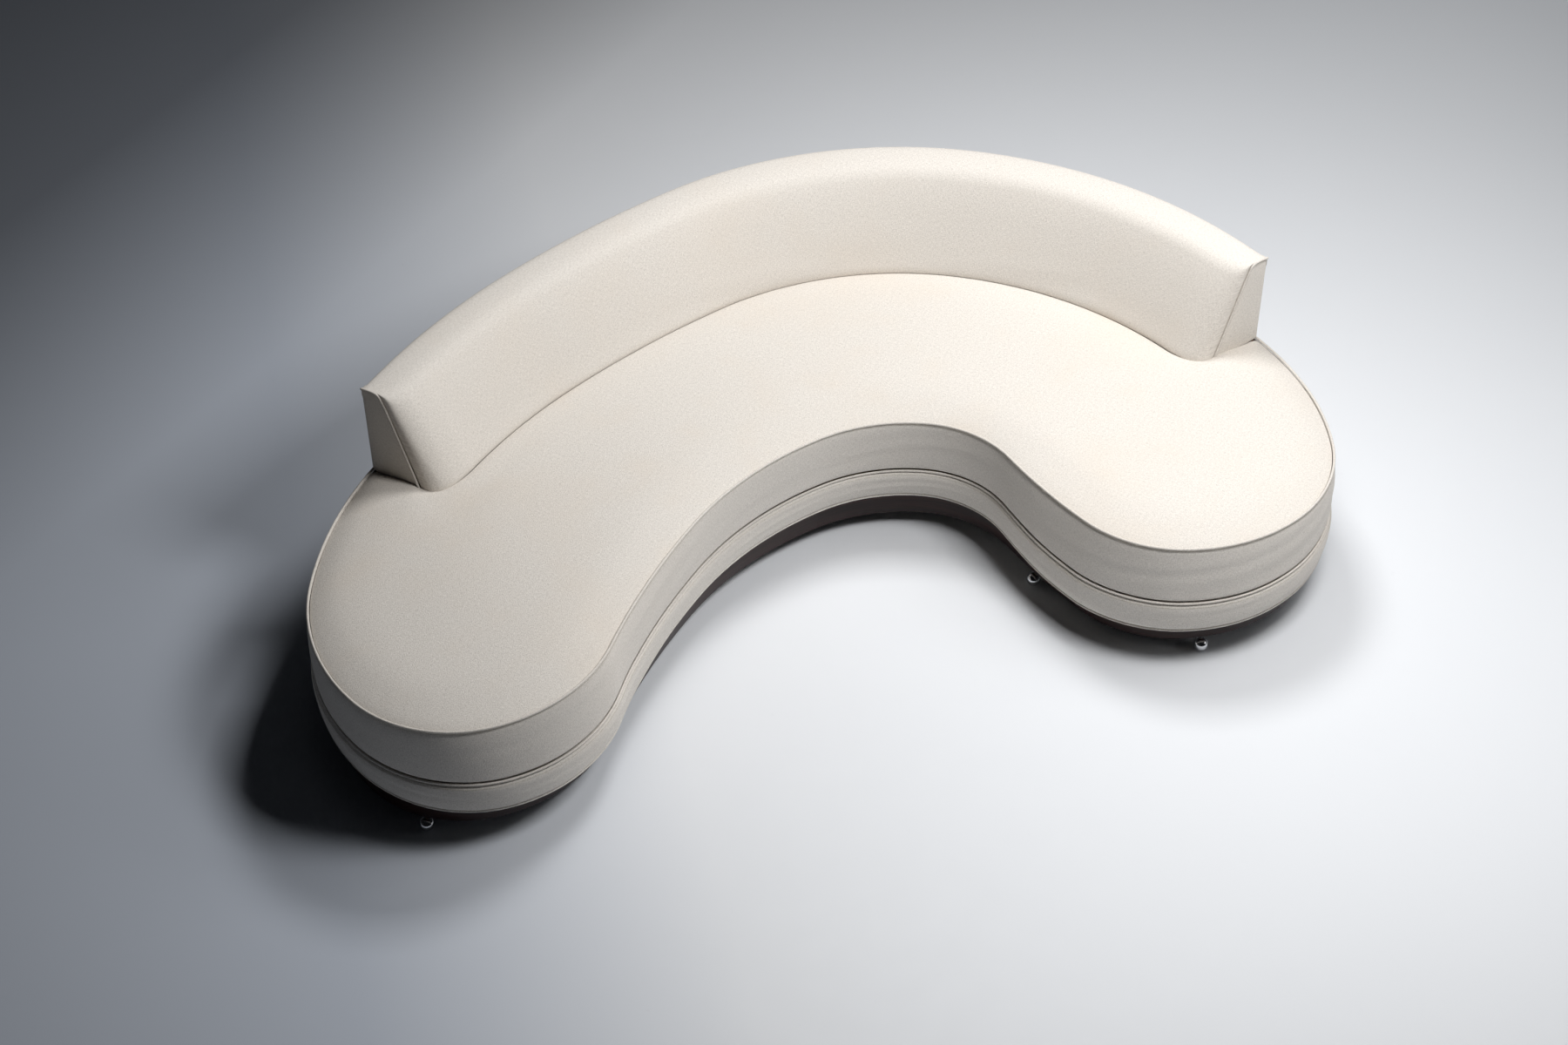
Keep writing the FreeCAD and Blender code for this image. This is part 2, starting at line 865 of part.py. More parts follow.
def back_bolts():
    bolts = []
    for spot in bolt_spots():
        head_top_z = back_rail_z + bolt_head_h
        shank = post(spot, bolt_inset, bolt_r, bolt_foot_z, back_rail_z)
        head = post(spot, bolt_inset, bolt_head_r, back_rail_z, head_top_z)
        key_hole = post(spot, bolt_inset, bolt_r * 0.6, head_top_z - 3, head_top_z)
        bolts.append(shank.fuse(head).cut(key_hole))
    return group(bolts)


def tee_nuts():
    nuts = []
    for spot in bolt_spots():
        flange_z = strut_top_z - nut_flange_t
        barrel = post(spot, bolt_inset, nut_r, strut_top_z, strut_top_z + nut_h)
        flange = post(spot, bolt_inset, nut_flange_r, flange_z, strut_top_z)
        thread = post(spot, bolt_inset, bolt_r + bolt_clearance / 3, flange_z - 1, strut_top_z + nut_h + 1)
        nuts.append(barrel.fuse(flange).cut(thread))
    return group(nuts)


def main():
    for name, chain in zip(quarter_names, quarters()):
        write("plinth_" + name, plinth_panel(chain))
    write("plinth_bottom_board", plinth_bottom_board())
    write("plinth_blocks", plinth_blocks())
    write("dust_cover", dust_cover())
    write("caster_blocks", caster_blocks())
    write("caster_sockets", caster_sockets())
    for number, spot in enumerate(caster_spots, 1):
        write("caster_hood_%d" % number, at_caster(hood_shape(), spot))
        write("caster_axle_%d" % number, at_caster(on_axle(axle_shape()), spot))
        write("caster_wheel_%d" % number, at_caster(on_axle(wheel_shape()), spot))

    write("base_board", board(base_board_inset, plinth_top_z, base_top_z))
    write("frame_struts", frame_struts())
    write("rim_panels", rim_panels())
    write("seat_rails", seat_rails())
    write("stretchers", stretchers(0))
    write("sinuous_springs", sinuous_springs())
    write("spring_clips", spring_clips())
    write("deck_cloth", deck_cloth())

    write("seat_foam", seat_foam())
    write("seat_cover", seat_cover())
    write("band_padding", side_padding(upper_band, seam_z, rim_top_z))
    write("band_cover", tube(upper_band, cloth_t))
    write("rail_padding", side_padding(lower_band, base_top_z, seam_z))
    write("rail_cover", tube(lower_band, cloth_t))
    write("seat_welt", welt(seat_welt_inset, seat_welt_z))
    write("seam_welt", seam_welt())
    write("bottom_welt", welt(bottom_welt_inset, bottom_welt_z))

    write("back_bottom_rail", back_bottom_rail())
    write("back_ribs", back_ribs())
    write("back_top_rail", back_top_rail())
    write("back_liner", back_liner())
    write("outer_back_board", outer_back_board())
    write("back_foam", back_foam())
    write("inside_back_cover", inside_back_cover())
    write("outer_back_cover", outer_back_cover())
    write("end_boards", end_boards())
    write("end_covers", end_covers())
    write("end_welts", end_welts())
    write("back_bolts", back_bolts())
    write("tee_nuts", tee_nuts())


main()
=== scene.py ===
import math

import bpy
import numpy as np
from mathutils import Matrix, Vector


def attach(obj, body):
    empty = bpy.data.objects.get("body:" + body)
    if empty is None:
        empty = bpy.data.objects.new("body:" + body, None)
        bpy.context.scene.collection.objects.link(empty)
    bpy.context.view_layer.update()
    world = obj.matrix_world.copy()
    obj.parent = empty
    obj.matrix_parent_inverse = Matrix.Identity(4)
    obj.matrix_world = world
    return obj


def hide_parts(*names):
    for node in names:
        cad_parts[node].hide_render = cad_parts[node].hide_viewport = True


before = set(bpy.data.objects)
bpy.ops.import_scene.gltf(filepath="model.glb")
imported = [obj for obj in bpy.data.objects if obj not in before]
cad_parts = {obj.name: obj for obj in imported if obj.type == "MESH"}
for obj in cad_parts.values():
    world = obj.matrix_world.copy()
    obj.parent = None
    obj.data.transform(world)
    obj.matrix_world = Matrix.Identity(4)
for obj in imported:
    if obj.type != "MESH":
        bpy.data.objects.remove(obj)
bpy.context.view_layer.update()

print("frame loaded:", len(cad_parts), "nodes")


# The sofa's plan: x, y in metres and the heading in degrees, anticlockwise from the
# left end of the back. Each pair of neighbours is joined by two tangent arcs.
plan = {
    "stations": [
        (-1.166, 0.123, -128.5), (-1.312, -0.720, -59.5), (-0.651, -0.673, 60.0),
        (0.034, -0.026, 18.0), (0.510, -0.216, -71.5), (0.861, -0.663, -12.0),
        (1.378, -0.343, 79.5), (1.325, 0.120, 112.5), (-0.221, 0.799, -157.0),
    ],
    "rightEndOfBack": 7,
}


def dot(a, b):
    return (a * b.conjugate()).real


def meeting(p, a, q, b):  # where two tangent arcs meet: p, q are points, a, b headings
    span = q - p
    both = a + b
    k = 2 * (1 - dot(a, b))
    reach = (math.sqrt(dot(span, both) ** 2 + k * abs(span) ** 2) - dot(span, both)) / k
    heading = (q - b * reach) - (p + a * reach)
    return (p + a * reach + q - b * reach) / 2, heading / abs(heading)


def planArcs():
    ends = [(complex(x, y), complex(math.cos(math.radians(h)), math.sin(math.radians(h))))
            for x, y, h in plan["stations"]]
    spots = []
    for here, there in zip(ends, ends[1:] + ends[:1]):
        spots += [here, meeting(*here, *there)]
    spots.append(spots[0])
    arcs = []
    run = 0.0
    for (p, a), (q, b) in zip(spots, spots[1:]):
        turn = np.angle((q - p) / a)
        length = abs(q - p) * turn / math.sin(turn)
        arcs.append((run, length, p, a, turn, abs(q - p)))
        run += length
    return arcs, run


arcs, lapLength = planArcs()
bodyLength = arcs[2 * plan["rightEndOfBack"]][0]
rearLength = lapLength - bodyLength


def along(distance):
    # points and headings at distances round the plan
    d = np.mod(np.asarray(distance, float), lapLength)
    spots = np.zeros(d.shape, complex)
    headings = np.zeros(d.shape, complex)
    for start, length, p, a, turn, chord in arcs:
        here = (d >= start) & (d <= start + length)
        share = (d[here] - start) / length
        spots[here] = p + a * np.exp(1j * turn * share) * chord * np.sin(turn * share) / math.sin(turn)
        headings[here] = a * np.exp(2j * turn * share)
    return spots, headings


def inset(distance, depth):  # a point of the plan moved in from the outline
    spots, headings = along(distance)
    return spots + 1j * headings * depth


def lift(plane, z):
    plane, z = np.broadcast_arrays(plane, z)
    return np.stack([plane.real, plane.imag, z], axis=-1)


def smoothStep(x):
    x = np.clip(x, 0, 1)
    return x * x * (3 - 2 * x)


def ripple(seed, coords, waves, size):
    # gentle unevenness: a few sine waves of random direction, repeatable by its seed
    rng = np.random.default_rng(seed)
    total = np.zeros(coords[0].shape)
    for i in range(waves):
        bend = 2 * math.pi / (size * rng.uniform(0.6, 1.6))
        turn = rng.uniform(0, 2 * math.pi)
        way = coords[0] * math.cos(turn) + coords[1] * math.sin(turn)
        total += np.sin(bend * way + rng.uniform(0, 6.3))
    return total / math.sqrt(waves)


def spline(points, count):
    # a smooth run through given points, evenly divided
    pts = np.array(points, float)
    padded = np.vstack([2 * pts[0] - pts[1], pts, 2 * pts[-1] - pts[-2]])
    fine = []
    for p0, p1, p2, p3 in zip(padded, padded[1:], padded[2:], padded[3:]):
        t = np.linspace(0, 1, 24, endpoint=False)[:, None]
        fine.append(0.5 * (2 * p1 + (p2 - p0) * t + (2 * p0 - 5 * p1 + 4 * p2 - p3) * t ** 2
                           + (3 * p1 - p0 - 3 * p2 + p3) * t ** 3))
    fine = np.vstack(fine + [pts[-1:]])
    run = np.concatenate([[0], np.cumsum(np.linalg.norm(np.diff(fine, axis=0), axis=1))])
    at = np.linspace(0, run[-1], count)
    return np.stack([np.interp(at, run, fine[:, k]) for k in range(pts.shape[1])], axis=1)


def meshPiece(name, points, faces, clothSpots=None):
    # a mesh from points, quads or polygons, and for each face corner a place on its cloth
    mesh = bpy.data.meshes.new(name)
    mesh.from_pydata([tuple(p) for p in points], [], [tuple(f) for f in faces])
    if clothSpots is not None:
        layer = mesh.uv_layers.new(name="cloth")
        flat = np.concatenate([np.asarray(c, float).reshape(-1, 2) for c in clothSpots])
        layer.data.foreach_set("uv", flat.ravel())
    mesh.polygons.foreach_set("use_smooth", [True] * len(mesh.polygons))
    mesh.update()
    piece = bpy.data.objects.new(name, mesh)
    bpy.context.scene.collection.objects.link(piece)
    return piece


def gridFaces(rows, cols, closedCols=False, closedRows=False):
    # quads of a grid whose points are numbered row by row
    faces = []
    corners = []
    for i in range(rows if closedRows else rows - 1):
        for j in range(cols if closedCols else cols - 1):
            nextI, nextJ = (i + 1) % rows, (j + 1) % cols
            faces.append((i * cols + j, i * cols + nextJ, nextI * cols + nextJ, nextI * cols + j))
            corners.append(((i, j), (i, j + 1), (i + 1, j + 1), (i + 1, j)))
    return faces, corners


def gridPiece(name, grid, us, vs, closedCols=False, closedRows=False, capRows=False):
    # grid is rows by columns of points; us and vs are the cloth's metres along and across
    rows, cols = grid.shape[:2]
    faces, corners = gridFaces(rows, cols, closedCols, closedRows)
    spots = [[(us[j], vs[i]) for i, j in face] for face in corners]
    if capRows:  # the open ends of a strip
        for j, order in ((0, range(rows)), (cols - 1, range(rows - 1, -1, -1))):
            faces.append([i * cols + j for i in order])
            spots.append([(grid[i, j, 0], grid[i, j, 2]) for i in order])
    return meshPiece(name, grid.reshape(-1, 3), faces, spots)


def subdivide(piece, levels=1):
    smoother = piece.modifiers.new("smooth", "SUBSURF")
    smoother.levels = levels
    smoother.render_levels = levels


def puff(points, faces, held, pressure, cap, easing, frames=20):
    # blows a pinned skin of cloth outward a little, eases its wrinkles and gives back its new points
    rows = held.shape[0]
    held = held.ravel()
    mesh = bpy.data.meshes.new("clothTrial")
    mesh.from_pydata([tuple(p) for p in points], [], [tuple(f) for f in faces])
    mesh.update()
    skin = bpy.data.objects.new("clothTrial", mesh)
    bpy.context.scene.collection.objects.link(skin)
    pins = skin.vertex_groups.new(name="pins")
    for strength in (1.0, 0.5):
        pins.add([int(i) for i in np.flatnonzero(held == strength)], strength, "REPLACE")
    cloth = skin.modifiers.new("cloth", "CLOTH")
    rules = cloth.settings
    rules.quality = 4
    rules.mass = 0.25
    rules.tension_stiffness = 12
    rules.compression_stiffness = 12
    rules.shear_stiffness = 4
    rules.bending_stiffness = 0.6
    rules.use_pressure = True
    rules.uniform_pressure_force = pressure
    rules.effector_weights.gravity = 0
    rules.vertex_group_mass = "pins"
    cloth.point_cache.frame_start = 1
    cloth.point_cache.frame_end = frames
    scene = bpy.context.scene
    for step in range(1, frames + 1):
        scene.frame_set(step)
    puffed = skin.evaluated_get(bpy.context.evaluated_depsgraph_get())
    after = np.zeros(len(mesh.vertices) * 3)
    puffed.data.vertices.foreach_get("co", after)
    moved = after.reshape(-1, 3) - points
    reach = np.linalg.norm(moved, axis=1, keepdims=True)
    share = np.where(reach > 1e-9, cap * np.tanh(reach / cap) / np.maximum(reach, 1e-9), 1)
    moved = (moved * share).reshape(rows, -1, 3)
    for _ in range(easing):
        beside = moved[:-2, 1:-1] + moved[2:, 1:-1] + moved[1:-1, :-2] + moved[1:-1, 2:]
        moved[1:-1, 1:-1] = 0.5 * moved[1:-1, 1:-1] + 0.125 * beside
    print("  puffed by up to", round(float(np.linalg.norm(moved, axis=2).max()) * 1000, 1), "mm")
    scene.frame_set(1)
    bpy.data.objects.remove(skin)
    bpy.data.meshes.remove(mesh)
    return points + moved.reshape(-1, 3)


# Materials
class Nodes:
    # short calls for wiring a material
    def __init__(self, name):
        self.material = bpy.data.materials.new(name)
        self.material.use_nodes = True
        self.tree = self.material.node_tree
        self.tree.nodes.clear()
        self.shader = self.add("ShaderNodeBsdfPrincipled")
        out = self.add("ShaderNodeOutputMaterial")
        self.link(self.shader.outputs[0], out.inputs[0])

    def add(self, kind, **values):
        node = self.tree.nodes.new(kind)
        for key, value in values.items():
            setattr(node, key, value)
        return node

    def link(self, source, target):
        self.tree.links.new(source, target)

    def feed(self, target, value):
        if isinstance(value, bpy.types.NodeSocket):
            self.link(value, target)
        else:
            target.default_value = value

    def math(self, operation, a, b=0.0, c=0.0):
        node = self.add("ShaderNodeMath", operation=operation)
        for target, value in zip(node.inputs, (a, b, c)):
            self.feed(target, value)
        return node.outputs[0]

    def noise(self, where, scale, detail=3.0, roughness=0.5):
        node = self.add("ShaderNodeTexNoise")
        self.link(where, node.inputs["Vector"])
        node.inputs["Scale"].default_value = scale
        node.inputs["Detail"].default_value = detail
        node.inputs["Roughness"].default_value = roughness
        return node.outputs["Fac"]

    def stretch(self, where, scale):
        node = self.add("ShaderNodeMapping")
        self.link(where, node.inputs["Vector"])
        node.inputs["Scale"].default_value = scale
        return node.outputs[0]

    def ramp(self, value, stops):
        node = self.add("ShaderNodeValToRGB")
        self.link(value, node.inputs[0])
        band = node.color_ramp
        while len(band.elements) < len(stops):
            band.elements.new(0.5)
        for element, (spot, colour) in zip(band.elements, stops):
            element.position = spot
            element.color = (*colour, 1)
        return node.outputs[0]

    def blend(self, share, a, b, kind="MIX"):
        node = self.add("ShaderNodeMix", data_type="RGBA", blend_type=kind)
        self.feed(node.inputs[0], share)
        for target, value in ((node.inputs[6], a), (node.inputs[7], b)):
            self.feed(target, value if isinstance(value, bpy.types.NodeSocket) else (*value, 1))
        return node.outputs[2]

    def bump(self, height, strength, distance, under=None):
        node = self.add("ShaderNodeBump")
        node.inputs["Strength"].default_value = strength
        node.inputs["Distance"].default_value = distance
        self.link(height, node.inputs["Height"])
        if under is not None:
            self.link(under, node.inputs["Normal"])
        return node.outputs[0]

    def objectSpots(self):
        return self.add("ShaderNodeTexCoord").outputs["Object"]

    def set(self, **values):
        names = {"colour": "Base Color", "roughness": "Roughness", "metallic": "Metallic",
                 "normal": "Normal", "specular": "Specular IOR Level", "sheen": "Sheen Weight",
                 "sheenRoughness": "Sheen Roughness", "sheenTint": "Sheen Tint",
                 "coat": "Coat Weight", "coatRoughness": "Coat Roughness"}
        for key, value in values.items():
            if isinstance(value, tuple):
                value = (*value, 1)
            self.feed(self.shader.inputs[names[key]], value)
        return self.material


weave = {
    "pitch": 0.0019,          # metres from thread to thread
    "ivory": (0.875, 0.828, 0.768),
    "shadowThread": (0.560, 0.520, 0.470),
    "soiling": (0.76, 0.665, 0.56),
    "roughness": 0.86,
    "sheen": 0.25,
}


def ivoryCloth(name, soiled=0.5, grain=1.0, paintedShade=1.0):
    m = Nodes(name)
    layer = m.add("ShaderNodeUVMap", uv_map="cloth").outputs[0]
    spots = m.objectSpots()
    apart = m.add("ShaderNodeSeparateXYZ")
    m.link(layer, apart.inputs[0])
    wander = m.noise(m.stretch(layer, (60, 60, 1)), 1.0, 2.0)
    turns = math.pi / weave["pitch"]
    warp, weft = [
        m.math("SINE", m.math("MULTIPLY_ADD", apart.outputs[k], turns, m.math("MULTIPLY", wander, sway)))
        for k, sway in ((0, 5.0), (1, 4.0))]
    crossing = m.math("MULTIPLY_ADD", m.math("MULTIPLY", warp, weft), 0.5, 0.5)
    slubs = m.noise(m.stretch(layer, (110, 480, 1)), 1.0, 3.0, 0.6)
    slubsAcross = m.noise(m.stretch(layer, (480, 110, 1)), 1.0, 3.0, 0.6)
    nap = m.noise(m.stretch(layer, (330, 330, 1)), 1.0, 3.0, 0.7)
    threads = m.math("ADD", m.math("MULTIPLY", slubs, 0.30), m.math("MULTIPLY", slubsAcross, 0.30))
    threads = m.math("ADD", threads, m.math("MULTIPLY_ADD", crossing, 0.06, m.math("MULTIPLY", nap, 0.34)))
    # A shade below 1 darkens a copy of this cloth all over: painted shade.
    dark, light = [tuple(paintedShade * c for c in weave[key]) for key in ("shadowThread", "ivory")]
    tone = m.ramp(threads, [(0.36, dark), (0.58, light)])
    patches = m.noise(spots, 2.3, 3.0, 0.55)
    cloudy = m.noise(spots, 9.0, 3.0, 0.5)
    wide = m.math("SMOOTH_MAX", m.math("SUBTRACT", patches, 0.47), 0.0, 0.05)
    small = m.math("SMOOTH_MAX", m.math("SUBTRACT", cloudy, 0.55), 0.0, 0.04)
    stain = m.math("MULTIPLY", wide, 2.4 * soiled)
    stain = m.math("ADD", stain, m.math("MULTIPLY", small, 1.2 * soiled))
    colour = m.blend(stain, tone, weave["soiling"])
    raised = m.bump(nap, 0.55 * grain, 0.0016)
    woven = m.bump(threads, 0.60 * grain, 0.0014, raised)
    return m.set(colour=colour, roughness=weave["roughness"], sheen=weave["sheen"], sheenRoughness=0.5,
                 sheenTint=(1.0, 0.97, 0.92), specular=0.25, normal=woven)


def darkWood(name, tone=((0.012, 0.006, 0.006), (0.045, 0.017, 0.014))):
    m = Nodes(name)
    spots = m.objectSpots()
    bands = m.noise(m.stretch(spots, (2.5, 2.5, 75)), 1.0, 5.0, 0.6)
    pores = m.noise(m.stretch(spots, (30, 30, 620)), 1.0, 3.0, 0.5)
    wear = m.noise(spots, 6.0, 4.0, 0.6)
    grain = m.ramp(bands, [(0.35, tone[0]), (0.68, tone[1])])
    colour = m.blend(m.math("MULTIPLY", pores, 0.4), grain, tone[0])
    gloss = m.math("MULTIPLY_ADD", wear, 0.22, 0.28)
    return m.set(colour=colour, roughness=gloss, coat=0.10, coatRoughness=0.18, specular=0.22,
                 normal=m.bump(m.math("ADD", pores, m.math("MULTIPLY", bands, 0.5)), 0.12, 0.0006))


def paleWood(name, light, dark, across=(3, 60, 60)):
    m = Nodes(name)
    spots = m.objectSpots()
    rings = m.noise(m.stretch(spots, across), 1.0, 5.0, 0.6)
    fleck = m.noise(m.stretch(spots, tuple(7 * a for a in across)), 1.0, 2.0)
    colour = m.blend(m.math("MULTIPLY", fleck, 0.35), m.ramp(rings, [(0.3, dark), (0.7, light)]), dark)
    return m.set(colour=colour, roughness=m.math("MULTIPLY_ADD", fleck, 0.2, 0.5),
                 normal=m.bump(fleck, 0.2, 0.0005))


def metal(name, colour, roughness, smudges):
    m = Nodes(name)
    spots = m.objectSpots()
    film = m.noise(spots, 55.0, 4.0, 0.6)
    fine = m.noise(spots, 900.0, 2.0)
    return m.set(colour=m.blend(m.math("MULTIPLY", film, 0.3), colour, tuple(0.8 * c for c in colour)),
                 metallic=1.0, roughness=m.math("MULTIPLY_ADD", film, smudges, roughness),
                 normal=m.bump(fine, 0.04, 0.0002))


def blackCloth(name):
    m = Nodes(name)
    layer = m.add("ShaderNodeUVMap", uv_map="cloth").outputs[0]
    fibres = m.noise(m.stretch(layer, (900, 900, 1)), 1.0, 3.0, 0.7)
    dimples = m.noise(m.stretch(layer, (260, 260, 1)), 1.0, 1.0)
    return m.set(colour=m.ramp(fibres, [(0.3, (0.010, 0.010, 0.011)), (0.75, (0.035, 0.034, 0.036))]),
                 roughness=0.9, sheen=0.2, normal=m.bump(dimples, 0.4, 0.0006))


def plainPadding(name, light, dark):
    m = Nodes(name)
    cells = m.noise(m.objectSpots(), 420.0, 3.0, 0.6)
    return m.set(colour=m.ramp(cells, [(0.3, dark), (0.7, light)]), roughness=0.95,
                 normal=m.bump(cells, 0.4, 0.001))


seatCloth = ivoryCloth("seatCloth", soiled=0.55)
backCloth = ivoryCloth("backCloth", soiled=0.35)
# The bands and welts are the seat's cloth darkened with painted shade, 4 % and 7 %, for the lesser light on
# them.
bandCloth = ivoryCloth("bandCloth", soiled=0.15, paintedShade=0.96)
weltCloth = ivoryCloth("weltCloth", soiled=0.25, grain=0.8, paintedShade=0.93)
stitchThread = plainPadding("stitchThread", (0.58, 0.52, 0.42), (0.42, 0.37, 0.29))
print("materials ready")


# The left end of the back stands a little askew, outward toward its front
leftEnd = {"splay": 0.105, "lostAtHead": 0.6, "reach": 0.16}


def splay(run, depth, rise):
    # how far a point near the left end of the back is moved out past that end
    near = 1 - smoothStep(run / leftEnd["reach"])
    return leftEnd["splay"] * depth * (1 - leftEnd["lostAtHead"] * rise) * near


# Seat
seat = {
    "columns": 440,
    "rows": 58,
    "weltInset": 0.007,
    "edgeHeight": 0.3965,
    "quickRise": 0.009,       # the roll just inside the welt
    "quickWidth": 0.012,
    "slowRise": 0.017,        # and the long crown behind it
    "slowWidth": 0.190,
    "creaseInset": 0.2485,
    "creaseDrop": 0.013,
    "creaseWidth": 0.016,
    "underside": 0.3565,
    "puckers": 0.00035,       # where the cloth is drawn under the welt
    "unevenness": 0.0009,
    "pressure": 2.4,
    "cap": 0.004,
    "easing": 6,
    # how far round the outline a column starts, and how far along the crease it ends
    "outlineMarks": (0, 0.45, 0.90, 1.35, 1.75, 2.20, 2.60, 3.00, 3.40, 3.75, 4.15, 4.55, None),
    "creaseMarks": (0, 0.05, 0.10, 0.17, 0.30, 0.75, 1.22, 1.68, -0.30, -0.17, -0.10, -0.05, None),
    # the corner where the back's puffed end meets the seat: distance from the end, inset
    "backCorner": ((0, 0.1600), (-0.0025, 0.1750), (-0.0015, 0.1880), (0.0045, 0.2010), (0.0130, 0.2115),
                   (0.0260, 0.2225), (0.0430, 0.2315), (0.0600, 0.2380), (0.0850, 0.2445), (0.1150, 0.2480),
                   (0.1500, 0.2485)),
}


def creaseLine():
    corner = spline(seat["backCorner"], 24)
    middle = np.linspace(corner[-1, 0], rearLength - corner[-1, 0], 240)[1:-1]
    run = np.concatenate([corner[:, 0], middle, rearLength - corner[::-1, 0]])
    depth = np.concatenate([corner[:, 1], np.full(middle.shape, seat["creaseInset"]), corner[::-1, 1]])
    run = run - splay(run, depth, 0.0)
    return inset(lapLength - run, depth)


def distanceTo(points, line):
    # how far each point of the plan is from a line, taken as its finely divided points
    steps = np.linspace(0, 1, 4, endpoint=False)
    dense = np.concatenate([a + (b - a) * steps for a, b in zip(line, line[1:])])
    flat = points.ravel()
    near = np.full(flat.shape, np.inf)
    for start in range(0, len(dense), 400):
        near = np.minimum(near, np.abs(flat[:, None] - dense[None, start:start + 400]).min(axis=1))
    return near.reshape(points.shape)


def seatGrid():
    crease = creaseLine()
    run = np.concatenate([[0], np.cumsum(np.abs(np.diff(crease)))])
    starts = [bodyLength if mark is None else mark for mark in seat["outlineMarks"]]
    ends = [run[-1] if mark is None else mark % run[-1] for mark in seat["creaseMarks"]]
    outer = np.linspace(0, bodyLength, seat["columns"])
    inner = np.interp(outer, starts, ends)
    window = np.hanning(41)
    stretched = np.concatenate([2 * inner[0] - inner[20:0:-1], inner, 2 * inner[-1] - inner[-2:-22:-1]])
    inner = np.convolve(stretched, window / window.sum(), "valid")
    inner = (inner - inner[0]) / (inner[-1] - inner[0]) * run[-1]
    a = inset(np.clip(outer, 1e-9, bodyLength - 1e-9), seat["weltInset"])
    b = np.interp(inner, run, crease.real) + 1j * np.interp(inner, run, crease.imag)
    t = np.linspace(0, 1, seat["rows"])[:, None]
    t = 0.5 - 0.5 * np.cos(math.pi * t) * (1 - 0.18 * np.sin(math.pi * t) ** 2)  # rows crowd the edges
    plane = a[None, :] * (1 - t) + b[None, :] * t
    outline = inset(np.linspace(1e-9, bodyLength - 1e-9, 900), seat["weltInset"])
    fromWelt = distanceTo(plane, outline)
    # the crease also runs along the foot of each end panel
    beside = np.linspace(seat["weltInset"], seat["backCorner"][0][1], 30)
    footLeft = inset(np.array([1e-9]), beside)
    footRight = inset(np.array([bodyLength - 1e-9]), beside[::-1])
    fromCrease = distanceTo(plane, np.concatenate([footLeft, crease, footRight]))
    height = seat["edgeHeight"] + seat["quickRise"] * (1 - np.exp(-fromWelt / seat["quickWidth"]))
    height += seat["slowRise"] * (1 - (1 - np.clip(fromWelt / seat["slowWidth"], 0, 1)) ** 2.2)
    nearWelt = smoothStep(fromWelt / 0.03)
    height -= seat["creaseDrop"] * np.exp(-(fromCrease / seat["creaseWidth"]) ** 1.2) * nearWelt
    pull = np.exp(-fromWelt / 0.035) * nearWelt
    gathers = ripple(11, (outer[None, :] * np.ones_like(t), 0 * plane.real), 9, 0.035)
    height += seat["puckers"] * pull * gathers
    amid = smoothStep(fromWelt / 0.12) * smoothStep(fromCrease / 0.1)
    height += seat["unevenness"] * ripple(5, (plane.real, plane.imag), 8, 0.55) * amid
    return lift(plane, height)


def seatCushion():
    grid = seatGrid()
    rows, cols = grid.shape[:2]
    faces, corners = gridFaces(rows, cols)
    points = grid.reshape(-1, 3)
    held = np.zeros((rows, cols))
    held[:3] = held[-3:] = 1.0
    held[:, :2] = held[:, -2:] = 1.0
    points = puff(points, faces, held, seat["pressure"], seat["cap"], seat["easing"])
    # the edge is carried down behind the welt, and a flat underside closes the pad
    grid = points.reshape(rows, cols, 3)
    floor = grid[[0, -1]].copy()
    floor[..., 2] = seat["underside"]
    wall = grid[[0, -1]].copy()
    wall[..., 2] -= 0.006
    closed = np.concatenate([floor[:1], wall[:1], grid, wall[1:], floor[1:]])
    faces, corners = gridFaces(closed.shape[0], cols, closedRows=True)
    rounds = closed.shape[0]
    across = closed[..., 1] + closed[..., 2]
    spots = [[(closed[i % rounds, j, 0], across[i % rounds, j]) for i, j in face] for face in corners]
    for j, order in ((0, range(rounds)), (cols - 1, range(rounds - 1, -1, -1))):
        faces.append([i * cols + j for i in order])
        spots.append([(closed[i, j, 0], closed[i, j, 2]) for i in order])
    piece = meshPiece("SeatCushion", closed.reshape(-1, 3), faces, spots)
    piece.data.materials.append(seatCloth)
    subdivide(piece)
    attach(piece, "frame")
    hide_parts("seat_foam", "seat_cover", "deck_cloth")
    return piece


seatCushion()
print("seat done")


# How the sides depart from the seat's outline: the lower body is fuller under the lobes and tucked
# in under the hollow. Each pair is a distance round the plan and a measure in metres.
sides = {
    "fullness": ((0, 0), (0.50, -0.005), (0.85, -0.007), (1.00, -0.006), (1.15, 0.003), (1.30, 0.015),
                 (1.45, 0.017), (1.60, 0.010), (1.78, -0.001), (2.00, -0.005), (2.40, -0.007),
                 (2.90, -0.007), (3.15, -0.005), (3.28, 0.001), (3.42, 0.014), (3.56, 0.018),
                 (3.70, 0.015), (3.85, 0.016), (4.00, 0.014), (4.15, 0.006), (4.30, -0.002),
                 (4.60, -0.005), (4.99, 0), (8.05, 0)),
    # how far the lower edge is drawn up
    "tuck": ((0, 0), (0.60, 0.004), (0.85, 0.008), (1.00, 0.006), (1.15, 0), (1.90, 0), (2.05, 0.005),
             (2.40, 0.006), (2.80, 0.010), (3.00, 0.010), (3.15, 0.004), (3.30, 0), (8.05, 0)),
    "flare": 0.0085,      # the seam stands this much further out than the lower edge
    "seamHeight": 0.2285,
    "edgeHeight": 0.1277,
    "topHeight": 0.3975,
}


def roundPlan(pairs, run):
    # a smooth run of values round the plan through given pairs
    fine = np.linspace(0, lapLength, 1600, endpoint=False)
    spots, values = np.array(pairs).T
    level = np.interp(fine, spots, values)
    window = np.hanning(37)
    level = np.convolve(np.concatenate([level[-18:], level, level[:18]]), window / window.sum(), "valid")
    return np.interp(np.mod(run, lapLength), np.append(fine, lapLength), np.append(level, level[0]))


